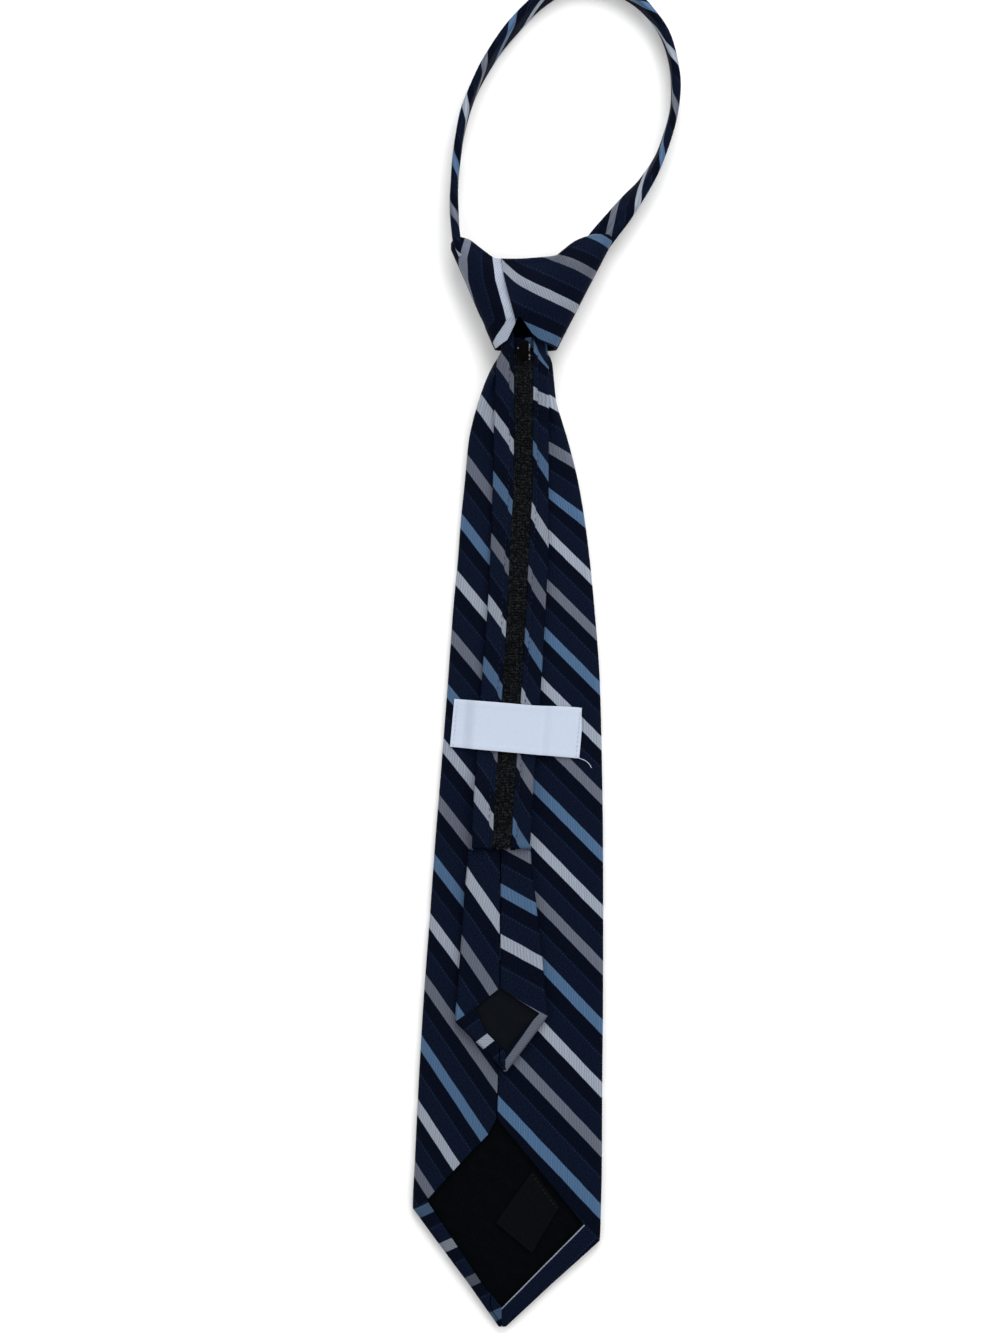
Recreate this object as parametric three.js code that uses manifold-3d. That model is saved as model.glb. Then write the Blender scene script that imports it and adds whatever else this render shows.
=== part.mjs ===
// Pre-tied zipper tie, lying face down with its back up.
// Millimetres, +Z up out of the back of the tie, +Y from the tip towards the neck loop.
// Everything is laid out from the middle of the knot's foot; the last lines set the group
// down with its box centred on the origin and its lowest face on Z = 0.
// A table holds its lengths as shares of the named sizes that they follow.
import * as THREE from "three";
import { mergeVertices } from "three/addons/utils/BufferGeometryUtils.js";
import Module from "manifold-3d";

const wasm = await Module();
wasm.setup();

// Driving sizes, front blade
const BLADE_LENGTH = 398;
const BLADE_WIDTH = 76;
const BLADE_WALL = 1.1;
const BLADE_SPACE = 2.0;

// Driving sizes, tail blade
const TAIL_LENGTH = 110;
const TAIL_WIDTH = 37.6;
const TAIL_WALL = 1.0;
const TAIL_SPACE = 1.6;
const TAIL_START = 182.6;

// Driving sizes, zipper
const BAND_LENGTH = 208.6;
const BAND_SPAN = 24;
const BAND_THICK = 2.4;
const BAND_INSIDE_KNOT = 6.5;
const BAND_ROUND = 0.84;
const CLIMB = 16;
const CLIMB_SPARE = 2;
const ZIP_SHOWING = 7.7;
const TAPE_THICK = 0.9;
const TAPE_TUCK = 1.6;
const COIL_WIDTH = 4.4;
const COIL_HEIGHT = 1.2;
const SLIDER_LENGTH = 8.2;
const SLIDER_WIDTH = 5.6;
const SLIDER_PLATE = 1.0;

// Driving sizes, knot
const KNOT_WIDTH = 64;
const KNOT_HEIGHT = 46;
const KNOT_DEPTH = 20;
const KNOT_WALL = 1.6;

// Driving sizes, neck loop
const LOOP_WIDTH = 90;
const LOOP_HEIGHT = 105;
const STRAP_WIDTH = 11;
const STRAP_THICK = 3.6;

// Driving sizes, labels and linings
const LABEL_LENGTH = 52.7;
const LABEL_WIDTH = 19.5;
const LABEL_THICK = 0.9;
const LABEL_DOWN = 153.5;
const LABEL_TURN = -5.2;
const LABEL_ACROSS = -2.9;
const LABEL_MARGIN = 1.0;
const LABEL_RAMP = 5.5;
const LINING_THICK = 1.0;
const TAG_THICK = 0.8;

// Clearance between neighbouring pieces, and the slit where two flaps meet
const CLEAR = 0.3;
const SLIT = 0.5;

// Sizes that follow from the driving ones
const BLADE_THICK = 2 * BLADE_WALL + BLADE_SPACE;
const TAIL_THICK = 2 * TAIL_WALL + TAIL_SPACE;
const TAPE_RISE = TAPE_THICK + 2 * CLEAR;
const CLIMB_END = -TAIL_START + CLIMB + CLIMB_SPARE;

// Longest step between sections, and where a tip begins, as shares of each length
const BLADE_STEP = 0.07;
const BLADE_TIP = 0.89;
const TAIL_STEP = 0.12;
const TAIL_TIP = 0.8;
const BAND_STEP = 0.05;
const KNOT_STEP = 0.1;
const LABEL_STEPS = 34;
const LOOP_STEPS = 64;

// Front blade, from the foot of the knot down. down: share of the length. left, right:
// shares of the width from the axis. lift: share of the knot's depth under the front
// face. full: multiple of the flat thickness. dimple: share of the flat thickness.
const BLADE_ROWS = [
  { down: -0.012, left: -0.121, right: 0.123, lift: 0.155, full: 1.74, dimple: 0.30 },
  { down: 0.002, left: -0.120, right: 0.127, lift: 0.155, full: 1.74, dimple: 0.40 },
  { down: 0.012, left: -0.155, right: 0.150, lift: 0.148, full: 1.78, dimple: 0.50 },
  { down: 0.031, left: -0.204, right: 0.161, lift: 0.124, full: 1.74, dimple: 0.55 },
  { down: 0.051, left: -0.241, right: 0.172, lift: 0.096, full: 1.66, dimple: 0.50 },
  { down: 0.072, left: -0.273, right: 0.204, lift: 0.070, full: 1.56, dimple: 0.42 },
  { down: 0.092, left: -0.295, right: 0.236, lift: 0.045, full: 1.44, dimple: 0.32 },
  { down: 0.133, left: -0.316, right: 0.290, lift: 0.015, full: 1.24, dimple: 0.16 },
  { down: 0.174, left: -0.338, right: 0.327, lift: 0.0, full: 1.12, dimple: 0.06 },
  { down: 0.215, left: -0.354, right: 0.354, lift: 0.0, full: 1.05, dimple: 0.0 },
  { down: 0.256, left: -0.375, right: 0.375, lift: 0.0, full: 1.0, dimple: 0.0 },
  { down: 0.338, left: -0.407, right: 0.407, lift: 0.0, full: 1.0, dimple: 0.0 },
  { down: 0.420, left: -0.440, right: 0.418, lift: 0.0, full: 1.0, dimple: 0.0 },
  { down: 0.502, left: -0.475, right: 0.424, lift: 0.0, full: 1.0, dimple: 0.0 },
  { down: 0.584, left: -0.506, right: 0.425, lift: 0.0, full: 1.0, dimple: 0.0 },
  { down: 0.666, left: -0.538, right: 0.424, lift: 0.0, full: 1.0, dimple: 0.0 },
  { down: 0.747, left: -0.563, right: 0.420, lift: 0.0, full: 1.0, dimple: 0.0 },
  { down: 0.829, left: -0.584, right: 0.418, lift: 0.0, full: 1.0, dimple: 0.0 },
  { down: 0.876, left: -0.595, right: 0.413, lift: 0.0, full: 1.0, dimple: 0.0 },
  { down: 0.909, left: -0.468, right: 0.407, lift: 0.0, full: 1.0, dimple: 0.0 },
  { down: 0.954, left: -0.293, right: 0.145, lift: 0.0, full: 1.0, dimple: 0.0 },
  { down: 1.000, left: -0.124, right: -0.112, lift: 0.0, full: 0.8, dimple: 0.0 },
];

// The mouth above the tip, where the flaps and the hems leave the lining bare.
// across: share of the blade's width from the axis. down: share of its length.
const BLADE_MOUTH = [
  { across: -0.145, down: 0.783 },
  { across: -0.193, down: 0.800 },
  { across: -0.349, down: 0.831 },
  { across: -0.520, down: 0.867 },
  { across: -0.225, down: 0.952 },
  { across: -0.120, down: 0.976 },
  { across: -0.102, down: 0.974 },
  { across: 0.322, down: 0.892 },
];
const LINING_REACH = 1.07;

// Corners of the care tag on the lining, in the same columns
const TAG_CORNERS = [
  { across: 0.048, down: 0.837 },
  { across: 0.190, down: 0.874 },
  { across: 0.043, down: 0.921 },
  { across: -0.150, down: 0.890 },
];

// Tail blade, from its hidden upper end down, in the same columns as shares of its own sizes
const TAIL_ROWS = [
  { down: 0.000, left: -0.477, right: 0.000 },
  { down: 0.150, left: -0.520, right: 0.030 },
  { down: 0.190, left: -0.601, right: 0.076 },
  { down: 0.237, left: -0.612, right: 0.082 },
  { down: 0.352, left: -0.645, right: 0.125 },
  { down: 0.448, left: -0.663, right: 0.152 },
  { down: 0.563, left: -0.688, right: 0.192 },
  { down: 0.685, left: -0.715, right: 0.228 },
  { down: 0.793, left: -0.739, right: 0.258 },
  { down: 0.819, left: -0.739, right: 0.211 },
  { down: 0.908, left: -0.466, right: 0.016 },
  { down: 1.000, left: -0.212, right: -0.188 },
];
const TAIL_MOUTH = [
  { across: -0.260, down: 0.689 },
  { across: -0.531, down: 0.763 },
  { across: -0.423, down: 0.848 },
  { across: -0.200, down: 0.925 },
  { across: 0.168, down: 0.783 },
];

// Zipper bands, from their hidden upper ends down to the square hem. left, right: outer
// edges, and middle: the middle of the zipper, as shares of the span of the bands.
const BAND_ROWS = [
  { down: 0.000, left: -0.320, right: 0.312, middle: -0.008 },
  { down: 0.018, left: -0.350, right: 0.340, middle: -0.008 },
  { down: 0.035, left: -0.385, right: 0.370, middle: -0.008 },
  { down: 0.051, left: -0.450, right: 0.407, middle: -0.008 },
  { down: 0.086, left: -0.475, right: 0.418, middle: -0.008 },
  { down: 0.147, left: -0.501, right: 0.418, middle: -0.008 },
  { down: 0.285, left: -0.526, right: 0.418, middle: -0.017 },
  { down: 0.404, left: -0.560, right: 0.418, middle: -0.070 },
  { down: 0.524, left: -0.611, right: 0.370, middle: -0.120 },
  { down: 0.645, left: -0.696, right: 0.312, middle: -0.178 },
  { down: 0.832, left: -0.810, right: 0.195, middle: -0.288 },
  { down: 0.906, left: -0.849, right: 0.144, middle: -0.335 },
  { down: 1.000, left: -0.883, right: 0.102, middle: -0.372 },
];

const ZIP_TOP = 0.035; // share of the bands' length at which the closed chain begins

// Half of the slider's plate from its foot to its top. wide: share of its half width.
const SLIDER_SIDE = [
  { along: 0, wide: 0.72 },
  { along: 0.45, wide: 1 },
  { along: 0.85, wide: 1 },
  { along: 1, wide: 0.72 },
];
const SLIDER_NOSE = 0.72;

// Knot, top edge from the left wing to the right wing. across: share of the width, up:
// share of the height. foot: where that fold comes out at the foot, share of the width.
const KNOT_TOP = [
  { across: -0.470, up: 0.939, foot: -0.188 },
  { across: -0.425, up: 0.985, foot: -0.176 },
  { across: -0.360, up: 0.965, foot: -0.152 },
  { across: -0.306, up: 0.910, foot: -0.128 },
  { across: -0.255, up: 0.855, foot: -0.104 },
  { across: -0.185, up: 0.795, foot: -0.076 },
  { across: -0.070, up: 0.793, foot: -0.030 },
  { across: 0.089, up: 0.806, foot: 0.030 },
  { across: 0.185, up: 0.822, foot: 0.066 },
  { across: 0.229, up: 0.870, foot: 0.084 },
  { across: 0.299, up: 0.945, foot: 0.110 },
  { across: 0.363, up: 0.985, foot: 0.134 },
  { across: 0.430, up: 1.010, foot: 0.154 },
  { across: 0.500, up: 1.000, foot: 0.174 },
  { across: 0.541, up: 0.960, foot: 0.189 },
];
// depth: share of the knot's depth. middle: height of the middle, share of the depth.
const KNOT_ROWS = [
  { down: 0.00, depth: 0.60, middle: 0.50 },
  { down: 0.05, depth: 0.80, middle: 0.50 },
  { down: 0.14, depth: 0.93, middle: 0.50 },
  { down: 0.30, depth: 1.00, middle: 0.50 },
  { down: 0.50, depth: 0.99, middle: 0.50 },
  { down: 0.70, depth: 0.89, middle: 0.47 },
  { down: 0.86, depth: 0.78, middle: 0.44 },
  { down: 1.00, depth: 0.70, middle: 0.42 },
];
const KNOT_ROUNDNESS = 3.4;
const KNOT_SIDE_BULGE = 0.025;
const KNOT_SPLIT = 0.56;
// Shares of the half depth: least at the sides, at the bulge past them, and at the front
const KNOT_LEAST = 0.42;
const KNOT_BULGE_DEPTH = 0.45;
const KNOT_FRONT_DEPTH = 1.04;
// Least half depth of the hollow, and how far its top is drawn in, in walls
const HOLLOW_LEAST = 0.4;
const HOLLOW_TOP = 1.3;
// The V over the slider and the slanted seam between the two back wraps
const KNOT_VEE = [
  { across: -0.160, up: -0.150 },
  { across: -0.150, up: 0.030 },
  { across: -0.108, up: 0.085 },
  { across: -0.066, up: 0.221 },
  { across: -0.032, up: 0.252 },
  { across: -0.013, up: 0.221 },
  { across: 0.051, up: 0.097 },
  { across: 0.130, up: 0.030 },
  { across: 0.140, up: -0.150 },
];
const KNOT_SEAM = [
  { across: -0.160, up: 1.200 },
  { across: -0.155, up: 0.790 },
  { across: -0.115, up: 0.520 },
  { across: -0.048, up: 0.236 },
  { across: -0.048, up: -0.200 },
];

// Neck loop, from the left wing round to the right wing. across, up: shares of the loop's
// width and height. rise: height of the strap's middle as a share of half its width.
// lean: degrees that its upper edge leans away from the neck.
const LOOP_ROUTE = [
  { across: 0.038, up: -0.066, rise: 1.70, lean: 0 },
  { across: 0.016, up: -0.010, rise: 1.64, lean: 0 },
  { across: 0.007, up: 0.039, rise: 1.42, lean: 0 },
  { across: 0.000, up: 0.132, rise: 1.12, lean: 0 },
  { across: 0.002, up: 0.225, rise: 1.01, lean: 0 },
  { across: 0.011, up: 0.318, rise: 1.01, lean: 0 },
  { across: 0.027, up: 0.411, rise: 1.01, lean: 1 },
  { across: 0.052, up: 0.505, rise: 1.01, lean: 2 },
  { across: 0.095, up: 0.598, rise: 1.02, lean: 5 },
  { across: 0.152, up: 0.691, rise: 1.04, lean: 9 },
  { across: 0.226, up: 0.784, rise: 1.06, lean: 13 },
  { across: 0.321, up: 0.877, rise: 1.06, lean: 15 },
  { across: 0.405, up: 0.940, rise: 1.06, lean: 14 },
  { across: 0.500, up: 0.985, rise: 1.05, lean: 12 },
  { across: 0.607, up: 1.000, rise: 1.04, lean: 9 },
  { across: 0.718, up: 0.982, rise: 1.03, lean: 6 },
  { across: 0.830, up: 0.928, rise: 1.02, lean: 4 },
  { across: 0.910, up: 0.854, rise: 1.02, lean: 3 },
  { across: 0.958, up: 0.784, rise: 1.01, lean: 2 },
  { across: 0.989, up: 0.691, rise: 1.01, lean: 1 },
  { across: 1.000, up: 0.598, rise: 1.01, lean: 1 },
  { across: 0.992, up: 0.505, rise: 1.01, lean: 2 },
  { across: 0.964, up: 0.411, rise: 1.02, lean: 4 },
  { across: 0.924, up: 0.318, rise: 1.06, lean: 9 },
  { across: 0.865, up: 0.228, rise: 1.14, lean: 20 },
  { across: 0.797, up: 0.151, rise: 1.30, lean: 40 },
  { across: 0.737, up: 0.085, rise: 1.50, lean: 52 },
  { across: 0.675, up: 0.022, rise: 1.70, lean: 56 },
  { across: 0.635, up: -0.022, rise: 1.78, lean: 56 },
];
// Leftmost strand from the axis, share of the loop's width, and where its height starts,
// share of the knot's height
const LOOP_LEFT = -0.315;
const LOOP_FOOT = 0.965;
// Half of the strap's section, with its edges rounded. wide: share of its width from the
// middle. deep: share of its thickness.
const STRAP_SECTION = [
  { wide: -0.5, deep: 0.18 },
  { wide: -0.44, deep: 0.5 },
  { wide: 0, deep: 0.5 },
  { wide: 0.44, deep: 0.5 },
  { wide: 0.5, deep: 0.18 },
];

// Straight-line reading of one column of a table
function at(rows, key, column, share) {
  const last = rows.length - 1;
  const next = rows.findIndex((row) => row[key] > share);
  if (next === 0) return rows[0][column];
  if (next < 0) return rows[last][column];
  const [a, b] = [rows[next - 1], rows[next]];
  const part = (share - a[key]) / (b[key] - a[key]);
  return a[column] + (b[column] - a[column]) * part;
}

const mix = (a, b, part) => a + (b - a) * part;
const smooth = (part) => THREE.MathUtils.smoothstep(part, 0, 1);

// Degrees up the rounded side of a flattened ring at which it has a point
const ROUND_TURNS = [14, 50];
const DIMPLE_WIDTH = 0.3; // share of the half width

// A flattened ring between left and right, over the top first and back underneath.
// Point i of the top lies over point n - 1 - i, which is what the end caps rely on.
function flatRing(left, right, low, thick, y, dimple = 0, spans = 6) {
  const reach = Math.min(thick / 2, (right - left) / 2);
  const across = [];
  for (const turn of ROUND_TURNS) {
    const angle = THREE.MathUtils.degToRad(turn);
    across.push([left + reach * (1 - Math.cos(angle)), Math.sin(angle)]);
  }
  for (let i = 0; i <= spans; i += 1) {
    across.push([mix(left + reach, right - reach, i / spans), 1]);
  }
  for (const [x, height] of across.slice(0, ROUND_TURNS.length).reverse()) {
    across.push([left + right - x, height]);
  }
  const middle = low + thick / 2;
  const centre = (left + right) / 2;
  const half = Math.max((right - left) / 2, 1e-6);
  const fold = (x) => dimple * Math.exp(-(((x - centre) / half / DIMPLE_WIDTH) ** 2));
  const top = across.map(([x, height]) => [x, y, middle + (height * thick) / 2]);
  const under = across.map(([x, height]) => [x, y, middle - (height * thick) / 2 + fold(x)]);
  return [...top, ...under.reverse()];
}

// A closed body through rings of equal counts, with a ladder of faces over each end
function loft(rings) {
  const count = rings[0].length;
  const points = rings.flat();
  const faces = [];
  for (let r = 0; r + 1 < rings.length; r += 1) {
    for (let i = 0; i < count; i += 1) {
      const j = (i + 1) % count;
      const [a, b] = [r * count + i, r * count + j];
      faces.push([a, a + count, b + count], [a, b + count, b]);
    }
  }
  const start = (rings.length - 1) * count;
  for (let i = 0; i + 1 < count / 2; i += 1) {
    const [a, b] = [i, i + 1];
    const [c, d] = [count - 2 - i, count - 1 - i];
    faces.push([a, b, c], [a, c, d]);
    faces.push([start + a, start + c, start + b], [start + a, start + d, start + c]);
  }
  const geometry = new THREE.BufferGeometry();
  geometry.setAttribute("position", new THREE.Float32BufferAttribute(points.flat(), 3));
  geometry.setIndex(faces.flat());
  return outward(geometry);
}

// Turns a closed geometry's faces outwards if its signed volume is negative
function outward(geometry) {
  const index = geometry.index;
  const corner = [new THREE.Vector3(), new THREE.Vector3(), new THREE.Vector3()];
  let volume = 0;
  for (let i = 0; i < index.count; i += 3) {
    corner.forEach((v, k) => v.fromBufferAttribute(geometry.attributes.position, index.getX(i + k)));
    volume += corner[0].dot(corner[1].clone().cross(corner[2]));
  }
  if (volume < 0) {
    for (let i = 0; i < index.count; i += 3) {
      const kept = index.getX(i + 1);
      index.setX(i + 1, index.getX(i + 2));
      index.setX(i + 2, kept);
    }
  }
  return geometry;
}

function solid(geometry) {
  const bare = geometry.clone();
  bare.deleteAttribute("normal");
  bare.deleteAttribute("uv");
  const merged = mergeVertices(bare, 1e-4);
  const vertProperties = merged.attributes.position.array;
  const triVerts = new Uint32Array(merged.index.array);
  return new wasm.Manifold(new wasm.Mesh({ numProp: 3, vertProperties, triVerts }));
}

function geometryOf(body) {
  const mesh = body.getMesh();
  const geometry = new THREE.BufferGeometry();
  geometry.setAttribute("position", new THREE.BufferAttribute(mesh.vertProperties, 3));
  geometry.setIndex(new THREE.BufferAttribute(mesh.triVerts, 1));
  return geometry;
}

// An upright prism over an outline of [x, y] pairs
function prism(outline, low, high) {
  const shape = new THREE.Shape(outline.map(([x, y]) => new THREE.Vector2(x, y)));
  const geometry = new THREE.ExtrudeGeometry(shape, { depth: high - low, bevelEnabled: false });
  return geometry.translate(0, 0, low);
}

// Every row of a table, with extra stations so that no step is longer than the given
// share, or than a quarter of it past the corner where a tip begins
function stations(rows, step, corner = Infinity) {
  const shares = [];
  rows.forEach((row, i) => {
    shares.push(row.down);
    const next = rows[i + 1];
    if (!next) return;
    const longest = row.down > corner ? step / 4 : step;
    const extra = Math.ceil((next.down - row.down) / longest) - 1;
    for (let k = 1; k <= extra; k += 1) shares.push(mix(row.down, next.down, k / (extra + 1)));
  });
  return shares;
}

// Outline of a table of shares, grown about its middle
function outlineOf(table, width, length, top, grow = 1) {
  const points = table.map((row) => [row.across * width, top - row.down * length]);
  const centre = [0, 1].map((k) => points.reduce((sum, p) => sum + p[k], 0) / points.length);
  return points.map((p) => p.map((value, k) => centre[k] + (value - centre[k]) * grow));
}

// Front blade
const bladeBed = (y) => {
  const down = -y / BLADE_LENGTH;
  const lift = at(BLADE_ROWS, "down", "lift", down) * KNOT_DEPTH;
  return lift + at(BLADE_ROWS, "down", "full", down) * BLADE_THICK;
};

// The blade's form, drawn in by an inset on all sides. Its upper end stays open, so the
// inset forms run out past it.
function bladeForm(size, inset) {
  const { rows } = size;
  const edges = (down) => {
    const slope = down > size.corner ? Math.SQRT2 : 1;
    const left = at(rows, "down", "left", down) * size.width + inset * slope;
    const right = at(rows, "down", "right", down) * size.width - inset * slope;
    return [left, right];
  };
  const ring = (down) => {
    const [left, right] = edges(down);
    const low = size.low(down) + inset;
    const thick = size.thick(down) - 2 * inset;
    const y = size.top - down * size.length;
    return flatRing(left, right, low, thick, y, size.dimple(down), size.spans);
  };
  const wide = (down) => {
    const [left, right] = edges(down);
    return right - left > CLEAR;
  };
  const rings = stations(rows, size.step, size.corner).filter(wide).map(ring);
  const above = rings[0].map(([x, y, z]) => [x, y + inset, z]);
  return solid(loft(inset > 0 ? [above, ...rings] : rings));
}

function foldedBlade(size) {
  const outer = bladeForm(size, 0);
  const inner = bladeForm(size, size.wall);
  const mouth = solid(prism(size.mouth, size.slitLow, size.high));
  const [apexX, apexY] = size.mouth[0];
  const slitTop = size.top + BAND_INSIDE_KNOT;
  const seam = [
    [size.seamTop - SLIT / 2, slitTop],
    [apexX - SLIT / 2, apexY - SLIT],
    [apexX + SLIT / 2, apexY - SLIT],
    [size.seamTop + SLIT / 2, slitTop],
  ];
  const slit = solid(prism(seam, size.slitLow, size.high));
  return outer.subtract(inner).subtract(mouth).subtract(slit);
}

// A lining lies on the inner face of the front wall and runs a little way under the flaps
// and hems round the mouth, inside the blade's hollow
function liningOf(size, mouthTable) {
  const low = size.floor + size.wall + CLEAR;
  const outline = outlineOf(mouthTable, size.width, size.length, size.top, LINING_REACH);
  const sheet = solid(prism(outline, low, low + LINING_THICK));
  return sheet.intersect(bladeForm(size, size.wall + CLEAR));
}

const FRONT = {
  rows: BLADE_ROWS,
  width: BLADE_WIDTH,
  length: BLADE_LENGTH,
  wall: BLADE_WALL,
  top: 0,
  floor: 0,
  step: BLADE_STEP,
  spans: 6,
  corner: BLADE_TIP,
  low: (down) => at(BLADE_ROWS, "down", "lift", down) * KNOT_DEPTH,
  thick: (down) => at(BLADE_ROWS, "down", "full", down) * BLADE_THICK,
  dimple: (down) => at(BLADE_ROWS, "down", "dimple", down) * BLADE_THICK,
  mouth: outlineOf(BLADE_MOUTH, BLADE_WIDTH, BLADE_LENGTH, 0),
  seamTop: 0,
  slitLow: BLADE_THICK / 2,
  high: KNOT_DEPTH,
};

const frontBlade = () => geometryOf(foldedBlade(FRONT));
const bladeLining = () => geometryOf(liningOf(FRONT, BLADE_MOUTH));

function careTag() {
  const low = BLADE_WALL + LINING_THICK + 2 * CLEAR;
  const outline = outlineOf(TAG_CORNERS, BLADE_WIDTH, BLADE_LENGTH, 0);
  return prism(outline, low, low + TAG_THICK);
}

// Tail blade, which lies on the back of the front blade
const tailLow = BLADE_THICK + CLEAR;
const tailMouth = outlineOf(TAIL_MOUTH, TAIL_WIDTH, TAIL_LENGTH, -TAIL_START);

const TAIL = {
  rows: TAIL_ROWS,
  width: TAIL_WIDTH,
  length: TAIL_LENGTH,
  wall: TAIL_WALL,
  top: -TAIL_START,
  floor: tailLow,
  step: TAIL_STEP,
  spans: 3,
  corner: TAIL_TIP,
  low: () => tailLow,
  thick: () => TAIL_THICK,
  dimple: () => 0,
  mouth: tailMouth,
  seamTop: tailMouth[0][0],
  slitLow: tailLow + TAIL_THICK / 2,
  high: tailLow + 2 * TAIL_THICK,
};

const tailBlade = () => geometryOf(foldedBlade(TAIL));
const tailLining = () => geometryOf(liningOf(TAIL, TAIL_MOUTH));

// Zipper: the bands lie on the blade and climb over the hidden top of the tail
const bandY = (down) => BAND_INSIDE_KNOT - down * BAND_LENGTH;

function bandLow(y) {
  const climb = smooth((CLIMB_END - y) / CLIMB);
  return bladeBed(y) + CLEAR + climb * (TAIL_THICK + CLEAR);
}

function bandEdges(y) {
  const down = (BAND_INSIDE_KNOT - y) / BAND_LENGTH;
  const [left, right, middle] = ["left", "right", "middle"].map(
    (column) => at(BAND_ROWS, "down", column, down) * BAND_SPAN,
  );
  return { left, right, middle };
}

// side is -1 for the left band, 1 for the right one. The inner margin is rebated to take
// the edge of the tape.
function zipBand(side) {
  const rings = stations(BAND_ROWS, BAND_STEP).map((down) => {
    const y = bandY(down);
    const edges = bandEdges(y);
    const inner = edges.middle + (side * ZIP_SHOWING) / 2;
    const outer = side < 0 ? edges.left : edges.right;
    const rebate = inner + side * (TAPE_TUCK + CLEAR);
    const low = bandLow(y);
    const high = low + BAND_THICK;
    const drawn = (share) => outer - side * share * BAND_ROUND;
    const top = [
      [outer, low + BAND_ROUND],
      [drawn(1 / 3), high - BAND_ROUND / 2],
      [drawn(1), high],
      [(outer + inner) / 2, high],
      [inner + (side * BAND_ROUND) / 2, high],
      [inner, high - BAND_ROUND / 2],
    ];
    const under = [
      [drawn(1 / 3), low + BAND_ROUND / 3],
      [drawn(1), low],
      [(drawn(1) + rebate) / 2, low],
      [rebate, low],
      [rebate, low + TAPE_RISE],
      [inner, low + TAPE_RISE],
    ];
    return [...top, ...under.reverse()].map(([x, z]) => [x, y, z]);
  });
  return loft(rings);
}

const zipStations = () => stations(BAND_ROWS, BAND_STEP).filter((down) => down >= ZIP_TOP);

function boxRings(low, high, edgesAt) {
  return zipStations().map((down) => {
    const y = bandY(down);
    const [a, b] = edgesAt(bandEdges(y).middle);
    const z = bandLow(y);
    return [
      [a, y, z + high],
      [b, y, z + high],
      [b, y, z + low],
      [a, y, z + low],
    ];
  });
}

function zipTape(side) {
  const outer = side * (ZIP_SHOWING / 2 + TAPE_TUCK);
  const inner = (side * CLEAR) / 2;
  return loft(boxRings(CLEAR, CLEAR + TAPE_THICK, (middle) => [middle + outer, middle + inner]));
}

function zipCoil() {
  const low = TAPE_RISE;
  const rings = zipStations().map((down) => {
    const y = bandY(down);
    const middle = bandEdges(y).middle;
    return flatRing(
      middle - COIL_WIDTH / 2,
      middle + COIL_WIDTH / 2,
      bandLow(y) + low,
      COIL_HEIGHT,
      y,
      0,
      1,
    );
  });
  return loft(rings);
}

// The slider is a plate over the top of the closed chain, with a nose that goes down
// between the tapes above them
function zipSlider() {
  const top = bandY(ZIP_TOP) + SLIDER_LENGTH / 2;
  const foot = top - SLIDER_LENGTH;
  const { middle } = bandEdges(foot);
  const low = bandLow(bandY(ZIP_TOP)) + TAPE_RISE + COIL_HEIGHT + CLEAR;
  const half = SLIDER_WIDTH / 2;
  const edge = (sign) =>
    SLIDER_SIDE.map((row) => [middle + sign * row.wide * half, mix(foot, top, row.along)]);
  const plate = solid(prism([...edge(1), ...edge(-1).reverse()], low, low + SLIDER_PLATE));
  const neck = SLIDER_NOSE * half;
  const noseFoot = bandY(ZIP_TOP) + CLEAR;
  const noseTop = top - CLEAR;
  const outline = [
    [middle - neck, noseFoot],
    [middle + neck, noseFoot],
    [middle + neck, noseTop],
    [middle - neck, noseTop],
  ];
  const nose = solid(prism(outline, bandLow(noseFoot) + CLEAR, low + SLIDER_PLATE / 2));
  return geometryOf(plate.add(nose));
}

// The keeper label crosses the back: its ends lie on the blade and it arches over the bands
function keeperLabel() {
  const turn = THREE.MathUtils.degToRad(LABEL_TURN);
  const centre = [LABEL_ACROSS, -LABEL_DOWN];
  const place = (u, v) => [
    centre[0] + u * Math.cos(turn) - v * Math.sin(turn),
    centre[1] + u * Math.sin(turn) + v * Math.cos(turn),
  ];
  const reach = LABEL_MARGIN + LABEL_RAMP;
  const low = BLADE_THICK + CLEAR;
  const rise = Math.max(BAND_THICK, TAPE_RISE + COIL_HEIGHT) + CLEAR;
  const height = (x, y) => {
    const edges = bandEdges(y);
    const left = smooth((x - edges.left + reach) / LABEL_RAMP);
    const right = smooth((edges.right + reach - x) / LABEL_RAMP);
    return low + rise * Math.min(left, right);
  };
  const rings = [];
  for (let i = 0; i <= LABEL_STEPS; i += 1) {
    const u = mix(-LABEL_LENGTH / 2, LABEL_LENGTH / 2, i / LABEL_STEPS);
    const edge = [-1, -0.5, 0, 0.5, 1].map((share) => place(u, (share * LABEL_WIDTH) / 2));
    const under = edge.map(([x, y]) => [x, y, height(x, y)]);
    const top = under.map(([x, y, z]) => [x, y, z + LABEL_THICK]);
    rings.push([...top, ...under.reverse()]);
  }
  return loft(rings);
}

// Neck loop
function loopCurve(column) {
  const points = LOOP_ROUTE.map((row) => {
    const x = (LOOP_LEFT + row.across) * LOOP_WIDTH;
    const y = LOOP_FOOT * KNOT_HEIGHT + row.up * LOOP_HEIGHT;
    return new THREE.Vector3(x, y, row[column]);
  });
  return new THREE.CatmullRomCurve3(points, false, "centripetal");
}

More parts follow.
